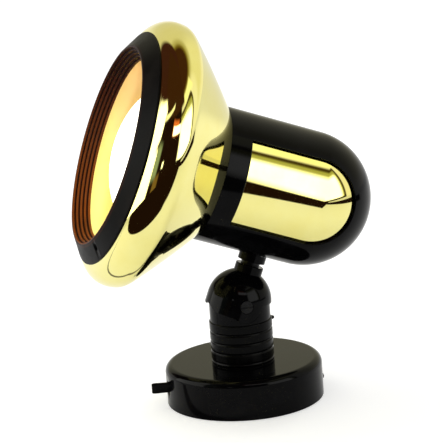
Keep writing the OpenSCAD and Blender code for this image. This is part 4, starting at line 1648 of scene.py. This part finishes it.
            for row in range(last):
                for k in range(count):
                    n = (k + 1) % count
                    put([(row, k), (row + 1, k), (row + 1, n), (row, n)])
            for k in range(count):
                n = (k + 1) % count
                if at_front[k] and at_front[n]:
                    put([(last, k), (0, k), (0, n), (last, n)], ahead)
        everything = np.concatenate([spots, spots * np.array([-1.0, 1.0, 1.0])])
        return Shapes.mesh("bullet_housing", everything, faces, np.array(corner_normals), ON_AXIS)

    def can(self) -> bpy.types.Object:
        """The brass can: a thin bullet with a flange at its front.

        Returns:
            The can.
        """
        outer, inner = self.can_radius, self.can_radius - self.can_wall
        shape = Outline().line(self.can_mouth, self.front - self.can_flange).line(inner, self.front - self.can_flange)
        shape.line(inner, self.back, 4)
        shape.arc((0, self.back), inner, 0, -90, 48)
        shape.line(0.0, self.back - outer)
        shape.arc((0, self.back), outer, -90, 0, 64)
        shape.line(outer, self.front - 0.5, 8)
        shape.arc((outer - 0.5, self.front - 0.5), 0.5, 0, 90, 4)
        shape.line(self.can_mouth, self.front).close()
        return Shapes.turned("brass_can", shape, ON_AXIS, 224)

    def build(self) -> None:
        """Makes and dresses the housing."""
        settle(self.shell(), Body.HEAD, BLACK, ["housing"])
        settle(self.can(), Body.HEAD, CAN_BRASS, ["inner_can"])


@dataclass
class Shade:
    """The flared brass shade with its rolled lip, and the stepped black ring in its mouth."""

    back: float = 45.2
    back_radius: float = 42.9
    mouth: float = 35.5
    cone: float = 47.75
    bow: float = 2.6
    swell: float = 0.3
    swell_place: float = -24.0
    swell_reach: float = 5.6
    radius: float = 84.45
    lip: float = 15.0
    wall: float = 0.9
    coat: float = 0.3
    flange: float = 60.6
    ring_front: float = 63.7
    ring_ahead: float = 7.2
    ring_hole: float = 57.2
    ring_land: float = 1.4
    ring_outer: float = 4.6
    ring_edge: float = 0.3
    ring_steps: int = 4
    step: float = 2.2
    screw_circle: float = 67.8
    screw_angle: float = 147.5
    screw_well: float = 2.0

    @property
    def lip_circle(self) -> float:
        """Radius of the circle that the lip rolls round."""
        return self.radius - self.lip

    @property
    def lip_place(self) -> float:
        """How far ahead the middle of the lip lies."""
        lean = math.radians(self.cone)
        tangent = self.lip_circle + self.lip * math.cos(lean)
        return self.back + (tangent - self.back_radius) / math.tan(lean) + self.lip * math.sin(lean)

    def _bowed(self) -> tuple[tuple[float, float], float]:
        """The large circle that the slightly bowed cone follows.

        Returns:
            Its middle and its radius.
        """
        end = math.radians(self.cone - self.bow)
        tangent = (self.lip_circle + self.lip * math.cos(end), self.lip_place - self.lip * math.sin(end))
        radius = math.dist(tangent, (self.back_radius, self.back)) / (2 * math.sin(math.radians(self.bow)))
        return (tangent[0] - radius * math.cos(end), tangent[1] + radius * math.sin(end)), radius

    def _heel(self, depth: float) -> tuple[float, float]:
        """Where a circle that lies under the bowed cone meets the plane that lies as far under the rear flange.

        Args:
            depth: How far under, mm.

        Returns:
            The radius from the axis, and the slope of the circle there in degrees.
        """
        middle, radius = self._bowed()
        up = middle[1] - self.back - depth
        out = math.sqrt((radius - depth) ** 2 - up ** 2)
        return middle[0] + out, math.degrees(math.atan2(up, out))

    def _sheet(self, outside: float, inside: float) -> Outline:
        """Outline of a sheet that follows the shade, from its rear flange to the flange under the ring.

        Args:
            outside: How far its outer face lies under the shade's outer face, mm.
            inside: How far its inner face lies under it.

        Returns:
            The outline.
        """
        middle, end = (self.lip_circle, self.lip_place), self.bow - self.cone
        front = self.lip_place + self.lip
        shape = self._skin(Outline().line(self.mouth, self.back + outside), outside)
        swelling = (self.swell_place, self.swell, self.swell_reach)
        shape.swollen(middle, self.lip - outside, (end, 90), 90, *swelling)
        shape.line(self.flange, front - outside, 2).line(self.flange, front - inside)
        shape.line(middle[0], front - inside, 2)
        shape.swollen(middle, self.lip - inside, (90, end), 60, *swelling)
        large, radius = self._bowed()
        shape.arc(large, radius - inside, end, -self._heel(inside)[1], 12)
        return shape.line(self.mouth, self.back + inside).close()

    def _skin(self, shape: Outline, depth: float) -> Outline:
        """Runs round the heel of the shade and up its cone.

        Args:
            shape: The outline so far.
            depth: How far under the shade's outer face.

        Returns:
            The outline.
        """
        large, radius = self._bowed()
        if depth == 0:
            heel, lean = self._heel(0.5)
            shape.arc((heel, self.back + 0.5), 0.5, -90, -lean, 4)
        else:
            lean = self._heel(depth)[1]
        return shape.arc(large, radius - depth, -lean, self.bow - self.cone, 24)

    def cone_and_lip(self) -> bpy.types.Object:
        """The polished sheet: cone, rolled lip and flanges."""
        return Shapes.turned("flared_shade", self._sheet(0.0, self.wall - self.coat), ON_AXIS, 320)

    def lining(self) -> bpy.types.Object:
        """The soft coat on the inside of the sheet."""
        return Shapes.turned("shade_lining", self._sheet(self.wall - self.coat, self.wall), ON_AXIS, 192)

    def front_ring(self) -> bpy.types.Object:
        """The black ring: a sloping face with a smooth land, and steps down its throat.

        Returns:
            The ring.
        """
        middle = (self.lip_circle, self.lip_place)
        front = self.lip_place + self.lip
        seat = self.lip + 0.1
        outer = self.lip_circle + self.ring_outer
        tip = front + self.ring_ahead
        land = self.ring_front - self.ring_land
        width = (land - self.ring_hole) / self.ring_steps
        low = middle[1] + math.sqrt(seat ** 2 - self.ring_outer ** 2)
        corners: list[tuple[float, float, float]] = [
            (outer, front + self.ring_edge, 0.25), (self.ring_front, tip, 0.5), (land, tip, 0.35)]
        for i in range(1, self.ring_steps + 1):
            corners.append((land - (i - 1) * width, tip - i * self.step, 0.2))
            corners.append((land - i * width, tip - i * self.step, 0.25))
        corners[-1] = (self.ring_hole, tip - self.ring_steps * self.step, 0.25)
        corners += [
            (self.ring_hole, front - 3.2, 0.2), (self.flange - 0.3, front - 3.2, 0.0),
            (self.flange - 0.3, front + 0.1, 0.0), (middle[0], front + 0.1, 0.0)]
        shape = rounded([(outer, low, 0.0), *corners], 4)
        ring = Shapes.turned("stepped_ring", shape, ON_AXIS, 256)
        for turn in (self.screw_angle, self.screw_angle + 180):
            Shapes.cut(ring, self._screw_well(front + 1.6, math.radians(90 - turn)))
        return ring

    def _screw_well(self, low: float, turn: float) -> bpy.types.Object:
        """The round well of one ring screw, to cut with.

        Args:
            low: Height of its floor, mm.
            turn: Its angle round the axis from the side, radians.

        Returns:
            The cutter.
        """
        rows = []
        for height in (low, low + 8):
            row = []
            for i in range(28):
                a = TAU * i / 28
                row.append((
                    self.screw_circle * math.cos(turn) + self.screw_well * math.cos(a),
                    self.screw_circle * math.sin(turn) + self.screw_well * math.sin(a), height))
            rows.append(np.array(row))
        return Shapes.grid("well", rows, False, ON_AXIS)

    def build(self) -> None:
        """Makes and dresses the shade and its ring."""
        settle(self.cone_and_lip(), Body.HEAD, BRASS, ["shade", "shade_lip"])
        settle(self.lining(), Body.HEAD, LINING)
        settle(self.front_ring(), Body.HEAD, RING_BLACK, ["baffle_ring"])
        front = self.lip_place + self.lip
        screws = Screws(
            "ring_screws", STEEL, 2, self.screw_circle, 90 - self.screw_angle, 1.7, 2.0, front + 1.7, 1.2, 5.0, 0.6, 0.6)
        settle(screws.piece("ring_screws_finished", ON_AXIS), Body.HEAD, STEEL, ["ring_screws"])


@dataclass
class Lamp:
    """The reflector lamp with its screw cap."""

    radius: float = 47.5
    wide: float = 76.0
    bulge: float = 29.0
    neck: float = 14.0
    neck_length: float = 14.0
    cap_front: float = -3.0
    wall: float = 1.0
    swell: tuple[tuple[float, float], ...] = ((0.38, 0.354), (0.62, 0.62), (0.83, 0.797), (0.96, 0.924))

    def _curve(self, inset: float) -> list[tuple[float, float]]:
        """Smooth half outline of the glass, from the cap to the middle of its face.

        Args:
            inset: How far inside the outer surface it lies.

        Returns:
            Radius and height of each point.
        """
        r, w = self.radius - inset, self.wide
        knots = [(self.neck - inset, self.cap_front + 0.1 + inset), (self.neck - inset, self.cap_front + self.neck_length)]
        for share, along in self.swell:
            knots.append((share * self.radius - inset, self.cap_front + along * (w - self.cap_front)))
        knots.append((r, w))
        path = [knots[0]]
        padded = [knots[0], *knots, (r, w + 6)]
        for i in range(1, len(padded) - 2):
            p = [np.array(padded[i + k]) for k in (-1, 0, 1, 2)]
            for s in np.linspace(0, 1, 9)[1:]:
                spot = 0.5 * (2 * p[1] + (p[2] - p[0]) * s + (2 * p[0] - 5 * p[1] + 4 * p[2] - p[3]) * s ** 2
                              + (3 * p[1] - p[0] - 3 * p[2] + p[3]) * s ** 3)
                path.append((float(spot[0]), float(spot[1])))
        for i in range(1, 33):
            a = math.radians(90 * i / 32)
            path.append((max(r * math.cos(a), 0.0), w + (self.bulge - inset) * math.sin(a)))
        return path

    def glass(self) -> bpy.types.Object:
        """The glass, a closed thin shell.

        Returns:
            The glass.
        """
        shape = Outline().line(0.0, self.cap_front + 0.1)
        outer = self._curve(0.0)
        inner = self._curve(self.wall)
        for spot in outer:
            shape.line(*spot)
        made = Shapes.turned("lamp_glass_outer", shape, ON_AXIS, 160)
        hollow = Outline().line(*inner[-1])
        for spot in inner[-2::-1]:
            hollow.line(*spot)
        hollow.line(0.0, self.cap_front + 0.1 + self.wall)
        inside = Shapes.turned("lamp_glass_inner", hollow, ON_AXIS, 96)
        return join("lamp_glass_finished", [made, inside])

    def build(self) -> None:
        """Makes and dresses the lamp."""
        glass = self.glass()
        glass.data.set_sharp_from_angle(angle=math.radians(60))
        settle(glass, Body.HEAD, GLASS, ["bulb_glass"])
        dress(LAMP_CAP, "bulb_cap")
        dress(STEM_BLACK, "bulb_contact")


def join(name: str, pieces: Sequence[bpy.types.Object]) -> bpy.types.Object:
    """Joins pieces into one object.

    Args:
        name: Its name.
        pieces: The pieces, which are removed.

    Returns:
        The object.
    """
    work = bmesh.new()
    for piece in pieces:
        work.from_mesh(piece.data)
        bpy.data.objects.remove(piece)
    data = bpy.data.meshes.new(name)
    work.to_mesh(data)
    work.free()
    data.polygons.foreach_set("use_smooth", [True] * len(data.polygons))
    made = bpy.data.objects.new(name, data)
    bpy.context.scene.collection.objects.link(made)
    return made


@dataclass(frozen=True)
class Patch:
    """A soft-edged patch of the room that bright metal mirrors.

    Its sides are in degrees round from the photograph's camera, growing to the camera's right, and its ends in
    degrees above the horizon.
    """

    left: float
    right: float
    low: float
    high: float
    tone: tuple[float, float, float]
    soft: float = 2.0
    lean: float = 0.0
    slant: float = 0.0

    def share(self, turn: Value, height: Value) -> Value:
        """Where the patch shows.

        Args:
            turn: Degrees round.
            height: Degrees up.

        Returns:
            1 inside it.
        """
        across = (turn - height * self.lean).between(self.left, self.right, self.soft)
        return across * (height - turn * self.slant).between(self.low, self.high, self.soft)


PAPER = (0.98, 0.96, 0.88)
ROOM = (
    Patch(104, 999, 8, 99, (0.86, 0.83, 0.62), 8.0),
    Patch(156, 999, 8, 99, (0.7, 0.67, 0.48), 14.0),
    Patch(-999, -138, 8, 99, (0.7, 0.67, 0.48), 8.0),
    Patch(-999, 999, 51, 99, (0.46, 0.42, 0.2), 5.0),
    Patch(-999, 999, 57.5, 99, (0.2, 0.15, 0.025), 3.0),
    Patch(-999, 999, 61.5, 99, (0.05, 0.018, 0.006), 3.0),
    Patch(-137, -45, 16, 99, (0.045, 0.014, 0.01), 3.0, -0.3),
    Patch(-117, -62, -3, 26, (3.0, 3.0, 2.8), 3.0),
    Patch(-112, -63, 78, 108, (3.0, 3.0, 2.8), 3.0, 0.0, 0.7),
    Patch(-62, 35, -90, 60, (0.013, 0.005, 0.003), 2.5),
    Patch(-140, 50, 50.5, 99, (0.045, 0.016, 0.006), 2.5),
    Patch(-46, -29, -15, 10, (0.2, 0.12, 0.035), 2.5),
    Patch(-25.5, -19.5, 12.5, 17.5, (2.5, 2.5, 2.4), 1.0),
    Patch(-61, -42, 9, 31, (0.3, 0.38, 0.3), 4.0),
    Patch(-4, 25, 34, 47, (0.9, 0.2, 0.05), 2.5, 0.0, -0.22),
    Patch(-1, 33, 34, 42, (3.0, 3.0, 3.0), 1.0, 0.0, -0.2),
    Patch(50, 92, 45, 57, (1.2, 1.2, 0.8), 3.0),
    Patch(34, 81, -12, 44.5, (0.06, 0.04, 0.008), 1.3),
    Patch(34, 77, -12, 40.5, (0.45, 0.45, 0.14), 1.6),
    Patch(34, 73, 0, 34, (3.0, 3.0, 2.9), 4.0),
    Patch(28, 80, -30, 1.5, (0.01, 0.004, 0.002), 0.8),
    Patch(-60, -13, 62.0, 66.5, (1.3, 1.25, 1.0), 1.2, 0.0, 0.3),
)


@dataclass
class Studio:
    """Floor, surroundings, lights and camera."""

    azimuth: float = 76.95
    elevation: float = 13.67
    roll: float = 4.15
    target: tuple[float, float, float] = (-1.69, -7.29, 115.96)
    distance: float = 1495.2
    lens: float = 193.2
    daylight: float = 0.75

    def _level_ways(self) -> tuple[Vector, Vector]:
        """The level directions towards the camera and to its right."""
        a = math.radians(self.azimuth)
        return Vector((math.sin(a), -math.cos(a), 0)), Vector((math.cos(a), math.sin(a), 0))

    def camera(self) -> None:
        """Sets the camera at the photograph's angle."""
        facing, right = self._level_ways()
        e, r = math.radians(self.elevation), math.radians(self.roll)
        back = facing * math.cos(e) + Vector((0, 0, math.sin(e)))
        up = back.cross(right)
        turned_right = right * math.cos(r) - up * math.sin(r)
        turned_up = right * math.sin(r) + up * math.cos(r)
        data = bpy.data.cameras.new("camera")
        data.sensor_width = 36.0
        data.lens = self.lens
        data.clip_start = 0.05
        data.clip_end = 60.0
        made = bpy.data.objects.new("camera", data)
        place = Matrix((turned_right, turned_up, back)).transposed().to_4x4()
        place.translation = Vector(self.target) * MM + back * self.distance * MM
        made.matrix_world = place
        bpy.context.scene.collection.objects.link(made)
        bpy.context.scene.camera = made

    @staticmethod
    def _along(tree: Tree, way: Value, direction: Sequence[float]) -> Value:
        """How much of a vector runs along a direction."""
        return tree.add("ShaderNodeVectorMath", {"operation": "DOT_PRODUCT"}, {0: way, 1: tuple(direction)}, 1)

    def floor(self) -> None:
        """Lays a wide pale floor: white to the camera, with a soft shadow; metal also mirrors the table's edge."""
        data = bpy.data.meshes.new("floor")
        angles = [TAU * i / 64 for i in range(64)]
        data.from_pydata([(9 * math.cos(t), 9 * math.sin(t), -0.0002) for t in angles], [], [list(range(64))])
        made = bpy.data.objects.new("floor", data)
        bpy.context.scene.collection.objects.link(made)
        paint = bpy.data.materials.new("floor_white")
        paint.use_nodes = True
        paint.node_tree.nodes.clear()
        tree = Tree(paint.node_tree)
        rays = tree.node("ShaderNodeLightPath")
        mirrored = Value(tree, rays.outputs["Is Glossy Ray"])
        seen = mirrored.at_least(Value(tree, rays.outputs["Is Camera Ray"]))
        seen = seen.at_least(Value(tree, rays.outputs["Is Transmission Ray"]))
        where = Finish.place(tree)
        facing, right = self._level_ways()
        near, aside = self._along(tree, where, facing), self._along(tree, where, right)
        off_table = (near * 0.966 - aside * 0.259).ramp(0.259, 0.267) * (aside - near + 0.255).ramp(-0.01, 0.01, 1.0, 0.0)
        far_off = (aside - near * 0.24).between(0.77, 1.8, 0.02) * (near + aside * 0.3).ramp(-0.05, 0.05)
        sheet_edge = (near - aside * 0.36).between(0.053, 0.062, 0.0015) * aside.ramp(-0.02, 0.02, 1.0, 0.0)
        dark = off_table.at_least(far_off).at_least(sheet_edge * 0.85) * mirrored
        pale = tree.node("ShaderNodeBsdfDiffuse", None, {"Color": colour(0.8, 0.8, 0.79)})
        bright = tree.node("ShaderNodeEmission", None, {
            "Color": colour(1, 1, 0.98), "Strength": seen * 0.42 - mirrored * 0.22})
        lit = tree.node("ShaderNodeAddShader", None, {0: pale.outputs[0], 1: bright.outputs[0]})
        unlit = tree.node("ShaderNodeEmission", None, {"Color": colour(0.012, 0.005, 0.003), "Strength": 1.0})
        whole = tree.node("ShaderNodeMixShader", None, {0: dark, 1: lit.outputs[0], 2: unlit.outputs[0]})
        tree.node("ShaderNodeOutputMaterial", None, {"Surface": whole.outputs[0]})
        data.materials.append(paint)

    def surroundings(self) -> None:
        """White all round for the camera and as light; metal mirrors white paper, windows and a dark room."""
        world = bpy.data.worlds.new("studio")
        bpy.context.scene.world = world
        world.use_nodes = True
        world.node_tree.nodes.clear()
        tree = Tree(world.node_tree)
        way = tree.add("ShaderNodeTexCoord", None, None, "Generated")
        facing, right = self._level_ways()
        turn = self._along(tree, way, right).bearing(self._along(tree, way, facing))
        height = self._along(tree, way, (0.0, 0.0, 1.0)).rise()
        room: Any = colour(*PAPER)
        for patch in ROOM:
            room = tree.mix(patch.share(turn, height), room, colour(*patch.tone))
        rays = tree.node("ShaderNodeLightPath")
        mirrored = Value(tree, rays.outputs["Is Glossy Ray"])
        seen = Value(tree, rays.outputs["Is Camera Ray"]).at_least(Value(tree, rays.outputs["Is Transmission Ray"]))
        strength = seen.at_least(mirrored) * (1.0 - self.daylight) + self.daylight
        tone = tree.mix(mirrored, colour(1, 1, 1), room)
        back = tree.node("ShaderNodeBackground", None, {"Color": tone, "Strength": strength})
        tree.node("ShaderNodeOutputWorld", None, {"Surface": back.outputs[0]})

    def lights(self) -> None:
        """Hangs soft lamps over and behind the object."""
        for name, spot, size, power, tint in (
            ("key", (-0.5, -0.9, 1.3), 0.9, 6.0, (1.0, 1.0, 1.0)),
            ("back", (-0.9, 0.9, 0.9), 0.8, 4.0, (1.0, 0.99, 0.97)),
        ):
            data = bpy.data.lights.new(name, "AREA")
            data.shape = "RECTANGLE"
            data.size = size
            data.size_y = size * 0.7
            data.energy = power
            data.color = tint
            made = bpy.data.objects.new(name, data)
            made.location = spot
            made.rotation_euler = (Vector((0, 0, 0.12)) - Vector(spot)).to_track_quat("-Z", "Y").to_euler()
            made.visible_glossy = False
            bpy.context.scene.collection.objects.link(made)

    def build(self) -> None:
        """Sets the scene round the object."""
        self.camera()
        self.floor()
        self.surroundings()
        self.lights()
        bpy.context.scene.view_settings.view_transform = "Standard"


def main() -> None:
    """Builds the lamp's finished look piece by piece."""
    logging.basicConfig(level=logging.INFO, format="%(name)s: %(message)s")
    for assembly in (Canopy(), Stem(), TiltingNeck(), Housing(), Shade(), Lamp(), Studio()):
        assembly.build()
        LOG.info("%s done", type(assembly).__name__)


if __name__ == "__main__":
    main()
